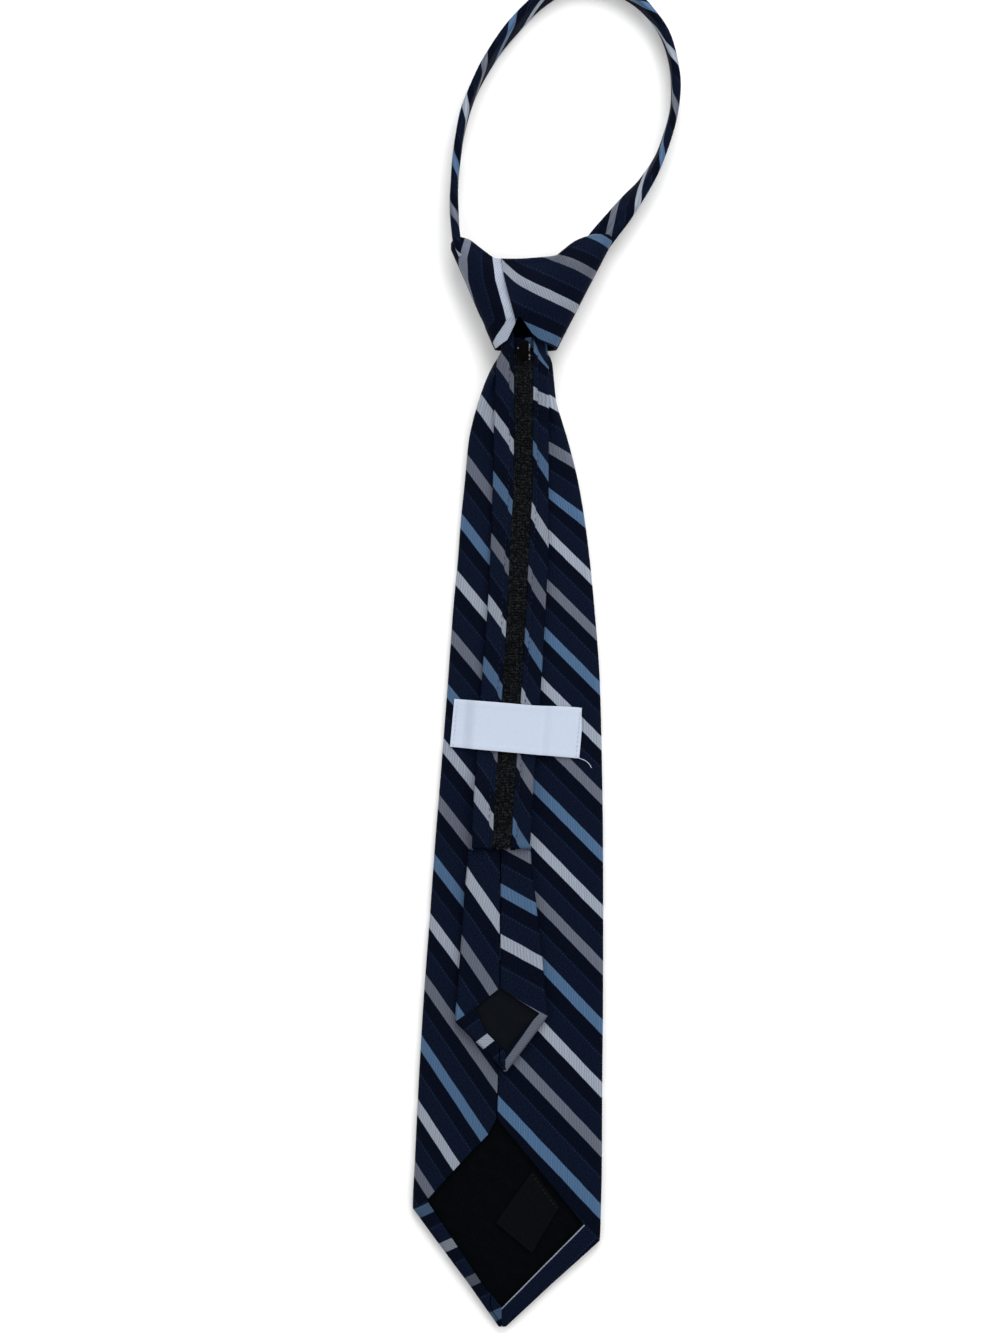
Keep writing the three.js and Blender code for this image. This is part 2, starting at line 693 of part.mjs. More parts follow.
// The strap along its route; endGap lets a cutter reach past both of its ends
function strap(width, thick, endGap = 0) {
  const rise = loopCurve("rise");
  const lean = loopCurve("lean");
  const rings = [];
  for (let i = 0; i <= LOOP_STEPS; i += 1) {
    const share = i / LOOP_STEPS;
    const point = rise.getPoint(share);
    const angle = THREE.MathUtils.degToRad(lean.getPoint(share).z);
    const ahead = rise.getTangent(share).setZ(0).normalize();
    const out = new THREE.Vector3(-ahead.y, ahead.x, 0);
    const up = new THREE.Vector3(0, 0, 1);
    const wide = up.clone().multiplyScalar(Math.cos(angle)).addScaledVector(out, Math.sin(angle));
    const deep = out.clone().multiplyScalar(Math.cos(angle)).addScaledVector(up, -Math.sin(angle));
    const middle = new THREE.Vector3(point.x, point.y, (point.z * STRAP_WIDTH) / 2);
    if (i === 0) middle.addScaledVector(ahead, -endGap);
    if (i === LOOP_STEPS) middle.addScaledVector(ahead, endGap);
    const face = (sign) =>
      STRAP_SECTION.map((row) => {
        const corner = middle.clone().addScaledVector(wide, row.wide * width);
        return corner.addScaledVector(deep, sign * row.deep * thick).toArray();
      });
    rings.push([...face(1), ...face(-1).reverse()]);
  }
  return loft(rings);
}

const neckLoop = () => strap(STRAP_WIDTH, STRAP_THICK);

// Knot: a hollow of wraps, cut where the strap goes in and split into its three wraps
function knotRing(down, inset, foot) {
  const depth = at(KNOT_ROWS, "down", "depth", down) * KNOT_DEPTH;
  const middle = at(KNOT_ROWS, "down", "middle", down) * KNOT_DEPTH;
  const first = KNOT_TOP[0];
  const last = KNOT_TOP[KNOT_TOP.length - 1];
  const left = mix(first.across, first.foot, down) * KNOT_WIDTH;
  const right = mix(last.across, last.foot, down) * KNOT_WIDTH;
  const centre = (left + right) / 2;
  const half = (right - left) / 2;
  const squeeze = (half - inset) / half;
  const columns = KNOT_TOP.map((row) => {
    const x = mix(row.across, row.foot, down) * KNOT_WIDTH;
    const high = row.up * KNOT_HEIGHT - HOLLOW_TOP * inset;
    const y = mix(high, -foot, down);
    const off = Math.min(Math.abs((x - centre) / half), 1);
    const round = Math.max((1 - off ** KNOT_ROUNDNESS) ** (1 / KNOT_ROUNDNESS), KNOT_LEAST);
    const deep = Math.max((depth / 2) * round - inset, HOLLOW_LEAST);
    return { x: centre + (x - centre) * squeeze, y, deep };
  });
  const bulge = KNOT_SIDE_BULGE * KNOT_WIDTH;
  const side = (column, sign) => ({
    x: column.x + sign * bulge,
    y: column.y,
    deep: KNOT_BULGE_DEPTH * column.deep,
  });
  const row = [side(columns[0], -1), ...columns, side(columns[columns.length - 1], 1)];
  const top = row.map(({ x, y, deep }) => [x, y, middle + deep]);
  const lowest = (deep) => Math.max(middle - KNOT_FRONT_DEPTH * deep, inset);
  const under = row.map(({ x, y, deep }) => [x, y, lowest(deep)]);
  return [...top, ...under.reverse()];
}

function knotShell() {
  const shares = stations(KNOT_ROWS, KNOT_STEP);
  const outer = solid(loft(shares.map((down) => knotRing(down, 0, 0))));
  const inner = solid(loft(shares.map((down) => knotRing(down, KNOT_WALL, 2 * KNOT_WALL))));
  const opening = solid(strap(STRAP_WIDTH + 2 * CLEAR, STRAP_THICK + 2 * CLEAR, CLEAR));
  return outer.subtract(inner).subtract(opening);
}

function knotWraps() {
  const shell = knotShell();
  const far = 2 * KNOT_WIDTH;
  const split = KNOT_SPLIT * KNOT_DEPTH;
  const place = (row) => [row.across * KNOT_WIDTH, row.up * KNOT_HEIGHT];
  const block = [
    [-far, -far],
    [far, -far],
    [far, far],
    [-far, far],
  ];
  const front = shell.intersect(solid(prism(block, -far, split - CLEAR / 2)));
  const vee = solid(prism(KNOT_VEE.map(place), split, far));
  const back = shell.intersect(solid(prism(block, split + CLEAR / 2, far))).subtract(vee);
  const seam = KNOT_SEAM.map(place);
  const half = (side) => [
    ...seam.map(([x, y]) => [x + (side * CLEAR) / 2, y]),
    [side * far, seam[seam.length - 1][1]],
    [side * far, seam[0][1]],
  ];
  const left = back.intersect(solid(prism(half(-1), 0, far)));
  const right = back.intersect(solid(prism(half(1), 0, far)));
  return { front, left, right };
}

// Finishes
const NAVY = { color: 0x161d33, roughness: 0.55, metalness: 0.0 };
const SATIN = { color: 0x0c0d10, roughness: 0.4, metalness: 0.0 };
const PALE = { color: 0xd4ddea, roughness: 0.6, metalness: 0.0 };
const KNIT = { color: 0x151815, roughness: 0.8, metalness: 0.0 };
const ENAMEL = { color: 0x101012, roughness: 0.35, metalness: 0.3 };

const tie = new THREE.Group();

function add(name, geometry, finish) {
  const mesh = new THREE.Mesh(geometry, new THREE.MeshStandardMaterial(finish));
  mesh.name = name;
  tie.add(mesh);
}

const wraps = knotWraps();
add("front_blade", frontBlade(), NAVY);
add("blade_lining", bladeLining(), SATIN);
add("care_tag", careTag(), SATIN);
add("tail_blade", tailBlade(), NAVY);
add("tail_lining", tailLining(), SATIN);
add("zip_band_left", zipBand(-1), NAVY);
add("zip_band_right", zipBand(1), NAVY);
add("zip_tape_left", zipTape(-1), KNIT);
add("zip_tape_right", zipTape(1), KNIT);
add("zip_coil", zipCoil(), KNIT);
add("zip_slider", zipSlider(), ENAMEL);
add("keeper_label", keeperLabel(), PALE);
add("knot_front", geometryOf(wraps.front), NAVY);
add("knot_back_left", geometryOf(wraps.left), NAVY);
add("knot_back_right", geometryOf(wraps.right), NAVY);
add("neck_loop", neckLoop(), NAVY);

const box = new THREE.Box3().setFromObject(tie);
tie.position.set(-(box.min.x + box.max.x) / 2, -(box.min.y + box.max.y) / 2, -box.min.z);

export default tie;
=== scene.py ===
import logging
import math
from dataclasses import dataclass, field, replace
from enum import Enum
from typing import Callable, Iterable

import bmesh
import bpy
import numpy as np
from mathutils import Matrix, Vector

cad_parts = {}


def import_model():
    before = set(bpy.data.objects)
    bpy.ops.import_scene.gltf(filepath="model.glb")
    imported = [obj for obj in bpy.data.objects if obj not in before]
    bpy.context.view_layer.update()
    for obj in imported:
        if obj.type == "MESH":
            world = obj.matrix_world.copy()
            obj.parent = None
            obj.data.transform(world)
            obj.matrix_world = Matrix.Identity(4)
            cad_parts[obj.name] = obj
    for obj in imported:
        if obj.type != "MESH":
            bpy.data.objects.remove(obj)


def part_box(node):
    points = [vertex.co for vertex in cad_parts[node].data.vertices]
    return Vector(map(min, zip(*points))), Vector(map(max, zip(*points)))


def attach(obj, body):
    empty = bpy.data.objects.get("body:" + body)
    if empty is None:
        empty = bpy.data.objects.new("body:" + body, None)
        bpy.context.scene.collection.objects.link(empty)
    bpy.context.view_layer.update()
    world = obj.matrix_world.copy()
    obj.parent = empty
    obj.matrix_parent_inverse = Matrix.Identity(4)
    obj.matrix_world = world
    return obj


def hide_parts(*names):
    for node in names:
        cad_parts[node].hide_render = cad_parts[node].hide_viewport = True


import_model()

LOG = logging.getLogger("zipper_tie")
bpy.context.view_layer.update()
MM = 0.001
PITCH = 16.9  # from one stripe of the silk to the next
OFF_FLOOR = 0.02  # how far the knot's skin stays above the floor

Pair = tuple[float, float]
Triple = tuple[float, float, float]


class Side(Enum):
    """Left or right, as seen on the back of the tie."""

    LEFT = -1
    RIGHT = 1


class Held(Enum):
    """How a sheet of cloth is held."""

    FOLDED = "folded"
    LAID = "laid"


class Region(Enum):
    """Parts of a folded blade, each with its own run of stripes."""

    FACE = 0
    FLAP_LEFT = 1
    FLAP_RIGHT = 2
    HEM_LEFT = 3
    HEM_RIGHT = 4


# ---------------------------------------------------------------- numbers and tables


def read_curve(along, keys: Iterable[float], values: Iterable[float]) -> np.ndarray:
    """Reads a table smoothly, without overshoot, and on in straight lines past its ends.

    Args:
        along: where to read, one number or an array.
        keys: the rows' places, rising or falling.
        values: the rows' values.

    Returns:
        The values at the given places.
    """
    k, v = np.asarray(list(keys), float), np.asarray(list(values), float)
    if k[0] > k[-1]:
        k, v = k[::-1], v[::-1]
    slope = np.diff(v) / np.diff(k)
    product = slope[1:] * slope[:-1]
    total = slope[1:] + slope[:-1]
    inner = np.where(product > 0, 2 * product / np.where(product > 0, total, 1), 0.0)
    tangent = np.concatenate([slope[:1], inner, slope[-1:]])
    a = np.asarray(along, float)
    i = np.clip(np.searchsorted(k, a) - 1, 0, len(k) - 2)
    h = k[i + 1] - k[i]
    t = (a - k[i]) / h
    curve = (
        (2 * t**3 - 3 * t**2 + 1) * v[i]
        + (t**3 - 2 * t**2 + t) * h * tangent[i]
        + (3 * t**2 - 2 * t**3) * v[i + 1]
        + (t**3 - t**2) * h * tangent[i + 1]
    )
    before = v[0] + tangent[0] * (a - k[0])
    after = v[-1] + tangent[-1] * (a - k[-1])
    return np.where(a < k[0], before, np.where(a > k[-1], after, curve))


@dataclass(frozen=True)
class Table:
    """Rows of numbers under named columns, read along the first column."""

    columns: str
    rows: tuple[tuple[float, ...], ...]

    def column(self, name: str) -> list[float]:
        """Returns one column's values."""
        place = self.columns.split().index(name)
        return [row[place] for row in self.rows]

    def read(self, name: str, along) -> np.ndarray:
        """Returns a column's values at places along the first column."""
        return read_curve(along, self.column(self.columns.split()[0]), self.column(name))


def ease(value, low: float, high: float) -> np.ndarray:
    """Returns 0 before low, 1 past high and a smooth rise between them."""
    t = np.clip((np.asarray(value, float) - low) / (high - low), 0, 1)
    return t * t * (3 - 2 * t)


def hump(value, centre: float, width: float) -> np.ndarray:
    """Returns a soft hump of height 1 about a centre."""
    return np.exp(-(((np.asarray(value, float) - centre) / width) ** 2))


def line_distance(x, y, a: Pair, b: Pair) -> np.ndarray:
    """Returns how far points are from the stretch between a and b."""
    ax, ay = a
    dx, dy = b[0] - ax, b[1] - ay
    t = np.clip(((x - ax) * dx + (y - ay) * dy) / (dx * dx + dy * dy), 0, 1)
    return np.hypot(x - ax - t * dx, y - ay - t * dy)


def reflect(x, y, a: Pair, b: Pair) -> tuple:
    """Returns the mirror images of points about the line through a and b."""
    dx, dy = b[0] - a[0], b[1] - a[1]
    t = ((x - a[0]) * dx + (y - a[1]) * dy) / (dx * dx + dy * dy)
    return 2 * (a[0] + t * dx) - x, 2 * (a[1] + t * dy) - y


def meeting(x, y, edge: Callable, slope: Callable) -> np.ndarray:
    """Returns the height at which the stripe through a place meets an edge.

    Args:
        x, y: the places.
        edge: gives the edge's x at a height.
        slope: gives how far a stripe falls per millimetre to the right, by its height there.

    Returns:
        The heights at the edge.
    """
    found = np.asarray(y, float)
    for _ in range(12):
        found = 0.5 * found + 0.5 * (y + slope(found) * (x - edge(found)))
    return found


def inside(x: float, y: float, outline: list[Pair]) -> bool:
    """Returns whether a point is inside a closed outline."""
    found = False
    for (ax, ay), (bx, by) in zip(outline, outline[1:] + outline[:1]):
        if (ay > y) != (by > y) and x < ax + (y - ay) * (bx - ax) / (by - ay):
            found = not found
    return found


def ripple(x, y, sizes: tuple[float, float], seed: int) -> np.ndarray:
    """Soft unevenness of lying cloth, the same on every run.

    Args:
        x, y: places in millimetres.
        sizes: rough lengths of the waves across and along.
        seed: chooses the waves.

    Returns:
        Heights between about -1 and 1.
    """
    rng = np.random.default_rng(seed)
    total = np.zeros_like(np.asarray(x, float))
    for _ in range(6):
        turn, phase = rng.uniform(-0.9, 0.9), rng.uniform(0, 2 * math.pi)
        grow = rng.uniform(0.7, 1.6)
        wave = x * math.cos(turn) / sizes[0] + y * (0.6 + math.sin(turn)) / sizes[1]
        total = total + np.sin(2 * math.pi * wave / grow + phase) / 6
    return total


@dataclass(frozen=True)
class Layout:
    """Place of the tie's own millimetres in the frame, found from the care tag's corner."""

    tag_right: float = 0.190 * 76
    tag_top: float = -0.837 * 398

    def origin(self) -> Vector:
        """Returns the middle of the knot's foot on the floor, in metres."""
        _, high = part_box("care_tag")
        return Vector((high[0] - self.tag_right * MM, high[1] - self.tag_top * MM, 0.0))


ORIGIN = Layout().origin()


def world(point: Iterable[float]) -> Vector:
    """Returns a tie point in the frame's metres."""
    return Vector(tuple(point)) * MM + ORIGIN


# ---------------------------------------------------------------- nets of cloth


Arrays = tuple[np.ndarray, np.ndarray]
ClothRule = Callable[[np.ndarray, np.ndarray, np.ndarray, np.ndarray, np.ndarray], Arrays]
Face = bmesh.types.BMFace


def as_it_lies(x, y, z, u, v) -> Arrays:
    """Returns the flat cloth's own places, for cloth without stripes."""
    return u, v


class Net:
    """A bmesh net of cloth in tie millimetres that can be cut, marked and finished."""

    def __init__(self, points: np.ndarray, flat: np.ndarray | None = None, wrap: bool = False):
        """Lays the net.

        Args:
            points: places, rows by columns by three.
            flat: the places on the flat cloth, rows by columns by two.
            wrap: whether the last column joins the first.
        """
        rows, columns, _ = points.shape
        self.bm = bmesh.new()
        self.u = self.bm.verts.layers.float.new("u")
        self.v = self.bm.verts.layers.float.new("v")
        self.side = self.bm.faces.layers.int.new("side")
        # painted light and shade: a share on each face by which the stripes are made lighter or darker
        self.painted_light = self.bm.faces.layers.float.new("painted_light")
        flat = points[..., :2] if flat is None else flat
        verts = []
        for place, lie in zip(points.reshape(-1, 3), flat.reshape(-1, 2)):
            vert = self.bm.verts.new(place)
            vert[self.u], vert[self.v] = lie
            verts.append(vert)
        across = columns if wrap else columns - 1
        for r in range(rows - 1):
            for c in range(across):
                d = (c + 1) % columns
                ring = [r * columns + c, r * columns + d, (r + 1) * columns + d, (r + 1) * columns + c]
                self.bm.faces.new([verts[i] for i in ring])

    def split(self, a: Pair, b: Pair, margin: float, only: int | None = None) -> None:
        """Splits the faces near the stretch from a to b along its line.

        Args:
            a, b: the stretch's ends in x and y.
            margin: how far round the stretch faces are split.
            only: the side number of the faces that are split, or all of them.
        """
        faces = []
        for face in self.bm.faces:
            c = face.calc_center_median()
            near = min(a[0], b[0]) - margin < c.x < max(a[0], b[0]) + margin
            near = near and min(a[1], b[1]) - margin < c.y < max(a[1], b[1]) + margin
            if near and (only is None or face[self.side] == only):
                faces.append(face)
        edges, verts = {e for f in faces for e in f.edges}, {v for f in faces for v in f.verts}
        across = (b[1] - a[1], a[0] - b[0], 0)
        geom = [*faces, *edges, *verts]
        bmesh.ops.bisect_plane(self.bm, geom=geom, dist=1e-4, plane_co=(*a, 0), plane_no=across)

    def cut(self, outline: list[Pair], keep: bool, only: int | None = None) -> None:
        """Cuts the net along a closed outline and drops one side of it.

        Args:
            outline: corners in x and y.
            keep: True keeps what is inside, False what is outside.
            only: the side number of the faces that are cut, or all of them.
        """
        for a, b in zip(outline, outline[1:] + outline[:1]):
            self.split(a, b, 3.0, only)
        gone = []
        for face in self.bm.faces:
            c = face.calc_center_median()
            if (only is None or face[self.side] == only) and inside(c.x, c.y, outline) != keep:
                gone.append(face)
        bmesh.ops.delete(self.bm, geom=gone, context="FACES")

    def close(self, edges: list[bmesh.types.BMEdge] | None = None) -> None:
        """Fills the holes along the given edges, or along every open edge."""
        if edges is None:
            edges = [e for e in self.bm.edges if e.is_boundary]
        bmesh.ops.holes_fill(self.bm, edges=edges)

    def dress(
        self,
        maps: dict[object, ClothRule],
        kind: Callable[[Face], object] = lambda face: 0,
        painted_light: dict[object, float] | None = None,
    ) -> None:
        """Writes the cloth's own map, in millimetres across and along the stripes.

        Args:
            maps: for each kind of face, the rule that reads the cloth's place from arrays
                of x, y, z and the two places on the flat cloth.
            kind: gives each face's kind.
            painted_light: painted light and shade on each kind, the share by which its stripes are made
                lighter or darker, 0 for none.
        """
        self.bm.verts.index_update()
        rows = np.array([(*vert.co, vert[self.u], vert[self.v]) for vert in self.bm.verts]).T
        places = {key: np.stack(rule(*rows), axis=-1) for key, rule in maps.items()}
        layer = self.bm.loops.layers.uv.new("cloth")
        for face in self.bm.faces:
            chosen = places[kind(face)]
            face[self.painted_light] = (painted_light or {}).get(kind(face), 0.0)
            for loop in face.loops:
                loop[layer].uv = chosen[loop.vert.index]

    def to_object(self, name: str, up: Callable[[Face], float] | None = None) -> bpy.types.Object:
        """Turns the faces outwards, moves the net to its place and links it.

        Args:
            name: the piece's name.
            up: gives each face's outward share, by default how far its normal points up.

        Returns:
            The linked object.
        """
        self.bm.normal_update()
        share = up or (lambda face: face.normal.z)
        if sum(share(face) * face.calc_area() for face in self.bm.faces) < 0:
            bmesh.ops.reverse_faces(self.bm, faces=self.bm.faces)
        for vert in self.bm.verts:
            vert.co = world(vert.co)
        mesh = bpy.data.meshes.new(name)
        self.bm.to_mesh(mesh)
        self.bm.free()
        return link(name, mesh)


def link(name: str, mesh: bpy.types.Mesh) -> bpy.types.Object:
    """Returns a new object of the mesh in the scene, shaded smooth."""
    mesh.name = name
    for polygon in mesh.polygons:
        polygon.use_smooth = True
    piece = bpy.data.objects.new(name, mesh)
    bpy.context.collection.objects.link(piece)
    return piece


def settle(piece: bpy.types.Object, sharp: float = 50.0) -> None:
    """Turns a piece's modifiers into plain mesh and keeps its cut edges crisp."""
    bpy.context.view_layer.update()
    shown = piece.evaluated_get(bpy.context.evaluated_depsgraph_get())
    mesh = bpy.data.meshes.new_from_object(shown)
    piece.modifiers.clear()
    piece.data = mesh
    mesh.name = piece.name
    mesh.set_sharp_from_angle(angle=math.radians(sharp))


def thicken(piece: bpy.types.Object, wall: float, bevel: float = 0.0) -> None:
    """Gives a net of cloth its thickness inwards, with softened cut edges."""
    solid = piece.modifiers.new("wall", "SOLIDIFY")
    solid.thickness = wall * MM
    solid.offset = -1
    solid.use_even_offset = False
    if bevel:
        soft = piece.modifiers.new("soft", "BEVEL")
        soft.width = bevel * MM
        soft.segments = 2
        soft.limit_method = "ANGLE"
        soft.angle_limit = math.radians(60)
    settle(piece)


def area_of(piece: bpy.types.Object) -> float:
    """Returns the surface of a mesh in square metres."""
    return sum(polygon.area for polygon in piece.data.polygons)


def hand_over(
    piece: bpy.types.Object,
    material: bpy.types.Material,
    replaces: tuple[str, ...] = (),
) -> bpy.types.Object:
    """Gives a finished piece its material and tells the frame what it is.

    Args:
        piece: the piece.
        material: its material, or its own where it already has one.
        replaces: CAD nodes that it stands for.

    Returns:
        The same piece.
    """
    piece.data.materials.clear()
    piece.data.materials.append(material)
    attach(piece, "root")
    if replaces:
        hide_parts(*replaces)
    LOG.info("%s: %d faces", piece.name, len(piece.data.polygons))
    return piece


# ---------------------------------------------------------------- shader nodes


class Nodes:
    """Short names for adding and joining the nodes of one tree."""

    def __init__(self, tree: bpy.types.NodeTree):
        """Starts on a tree."""
        self.tree = tree

    def add(self, kind: str, inputs: dict | None = None, **settings) -> bpy.types.Node:
        """Adds a node.

        Args:
            kind: the node's type.
            inputs: values or sockets for its inputs, by name or number.
            settings: its own settings.

        Returns:
            The node.
        """
        node = self.tree.nodes.new(kind)
        for name, value in settings.items():
            setattr(node, name, value)
        for name, value in (inputs or {}).items():
            self.feed(node.inputs[name], value)
        return node

    def feed(self, socket: bpy.types.NodeSocket, value) -> None:
        """Joins a socket to an input, or sets its value."""
        if isinstance(value, bpy.types.NodeSocket):
            self.tree.links.new(value, socket)
        else:
            socket.default_value = value

    def math(self, operation: str, *values) -> bpy.types.NodeSocket:
        """Returns the result of a math node."""
        return self.add("ShaderNodeMath", dict(enumerate(values)), operation=operation).outputs[0]

    def vector(self, operation: str, *values) -> bpy.types.NodeSocket:
        """Returns the vector or value of a vector math node."""
        node = self.add("ShaderNodeVectorMath", dict(enumerate(values)), operation=operation)
        return node.outputs["Value" if operation in ("DOT_PRODUCT", "LENGTH") else "Vector"]

    def span(self, value, low, high, start=0.0, end=1.0) -> bpy.types.NodeSocket:
        """Returns a smooth step of a value from start to end."""
        node = self.add(
            "ShaderNodeMapRange",
            {"Value": value, "From Min": low, "From Max": high, "To Min": start, "To Max": end},
            interpolation_type="SMOOTHSTEP",
        )
        return node.outputs["Result"]

    def blend(self, share, a, b, mode: str = "MIX") -> bpy.types.NodeSocket:
        """Returns a mix of two colours."""
        node = self.add("ShaderNodeMix", {0: share, 6: a, 7: b}, data_type="RGBA", blend_type=mode)
        return node.outputs[2]

    def dim(self, colour, share) -> bpy.types.NodeSocket:
        """Returns a colour made darker or lighter by a share."""
        even = self.add("ShaderNodeCombineColor", {0: share, 1: share, 2: share}).outputs[0]
        return self.blend(1.0, colour, even, "MULTIPLY")

    def noise(self, vector, scale, detail: float = 2.0) -> bpy.types.NodeSocket:
        """Returns the value of a noise texture."""
        node = self.add("ShaderNodeTexNoise", {"Vector": vector, "Scale": scale, "Detail": detail})
        return node.outputs[0]


def shade(red: int, green: int, blue: int) -> tuple[float, float, float, float]:
    """Returns a screen colour as the linear one that the shaders take."""
    parts = [c / 255 for c in (red, green, blue)]
    linear = [c / 12.92 if c < 0.04045 else ((c + 0.055) / 1.055) ** 2.4 for c in parts]
    return (*linear, 1.0)


class ThreadGroup:
    """Node group of fine yarns: ribs that run one way, crossed ones and an uneven grain."""

    NAME = "fine_yarns"

    @classmethod
    def get(cls) -> bpy.types.NodeTree:
        """Returns the group, built once."""
        return bpy.data.node_groups.get(cls.NAME) or cls.build()

    @classmethod
    def build(cls) -> bpy.types.NodeTree:
        """Returns a new group; its Vector is in millimetres."""
        tree = bpy.data.node_groups.new(cls.NAME, "ShaderNodeTree")
        for name, kind, value in (
            ("Vector", "NodeSocketVector", None),
            ("Rib Way", "NodeSocketVector", (1.0, 0.0, 0.0)),
            ("Cross Way", "NodeSocketVector", (0.0, 1.0, 0.0)),
            ("Rib Step", "NodeSocketFloat", 1.0),
            ("Cross Step", "NodeSocketFloat", 0.5),
            ("Grain Scale", "NodeSocketFloat", 2.0),
        ):
            socket = tree.interface.new_socket(name, in_out="INPUT", socket_type=kind)
            if value is not None:
                socket.default_value = value
        for name in ("Ribs", "Cross", "Grain", "Height"):
            tree.interface.new_socket(name, in_out="OUTPUT", socket_type="NodeSocketFloat")
        n = Nodes(tree)
        inp = n.add("NodeGroupInput").outputs
        waver = n.math("MULTIPLY", n.noise(inp["Vector"], 0.35), 0.8)

        def yarn(way: str, step: str) -> bpy.types.NodeSocket:
            """Returns a 0 to 1 wave across the yarns of one way."""
            along = n.vector("DOT_PRODUCT", inp["Vector"], inp[way])
            turns = n.math("DIVIDE", n.math("ADD", along, waver), inp[step])
            wave = n.math("SINE", n.math("MULTIPLY", turns, 2 * math.pi))
            return n.math("MULTIPLY_ADD", wave, 0.5, 0.5)

        ribs, cross = yarn("Rib Way", "Rib Step"), yarn("Cross Way", "Cross Step")
        grain = n.noise(inp["Vector"], inp["Grain Scale"], 3.0)
        height = n.math("ADD", n.math("MULTIPLY", ribs, 0.5), n.math("MULTIPLY", cross, 0.3))
        height = n.math("MULTIPLY_ADD", grain, 0.35, height)
        out = n.add("NodeGroupOutput")
        for name, value in (("Ribs", ribs), ("Cross", cross), ("Grain", grain), ("Height", height)):
            n.feed(out.inputs[name], value)
        return tree


def new_material(name: str) -> tuple[bpy.types.Material, Nodes, bpy.types.Node]:
    """Returns a new material, its nodes and its Principled shader."""
    material = bpy.data.materials.new(name)
    material.use_nodes = True
    return material, Nodes(material.node_tree), material.node_tree.nodes["Principled BSDF"]


def object_millimetres(n: Nodes) -> bpy.types.NodeSocket:
    """Returns Object coordinates in millimetres."""
    place = n.add("ShaderNodeTexCoord").outputs["Object"]
    return n.add("ShaderNodeMapping", {"Vector": place, "Scale": (1000, 1000, 1000)}).outputs[0]


def relief(n: Nodes, shader: bpy.types.Node, height, depth: float) -> None:
    """Feeds a height, in millimetres deep, to the shader's normal."""
    bump = n.add("ShaderNodeBump", {"Height": height, "Distance": depth * MM, "Strength": 1.0})
    n.feed(shader.inputs["Normal"], bump.outputs[0])


def lay_yarns(
    n: Nodes, place: bpy.types.NodeSocket, cloth: "StripedSilk | PlainCloth"
) -> dict[str, bpy.types.NodeSocket]:
    """Adds the yarns of a cloth by its own ways and steps.

    Args:
        n: the material's nodes.
        place: where on the cloth, in millimetres.
        cloth: the finish whose yarns they are.

    Returns:
        The outputs Ribs, Cross, Grain and Height by name.
    """
    ways = {"Rib Way": cloth.rib_way, "Cross Way": cloth.cross_way}
    steps = {"Rib Step": cloth.rib_step, "Cross Step": cloth.cross_step, "Grain Scale": cloth.grain}
    given = {"Vector": place, **ways, **steps}
    yarns = n.add("ShaderNodeGroup", given, node_tree=ThreadGroup.get())
    return {socket.name: socket for socket in yarns.outputs}


# ---------------------------------------------------------------- finishes


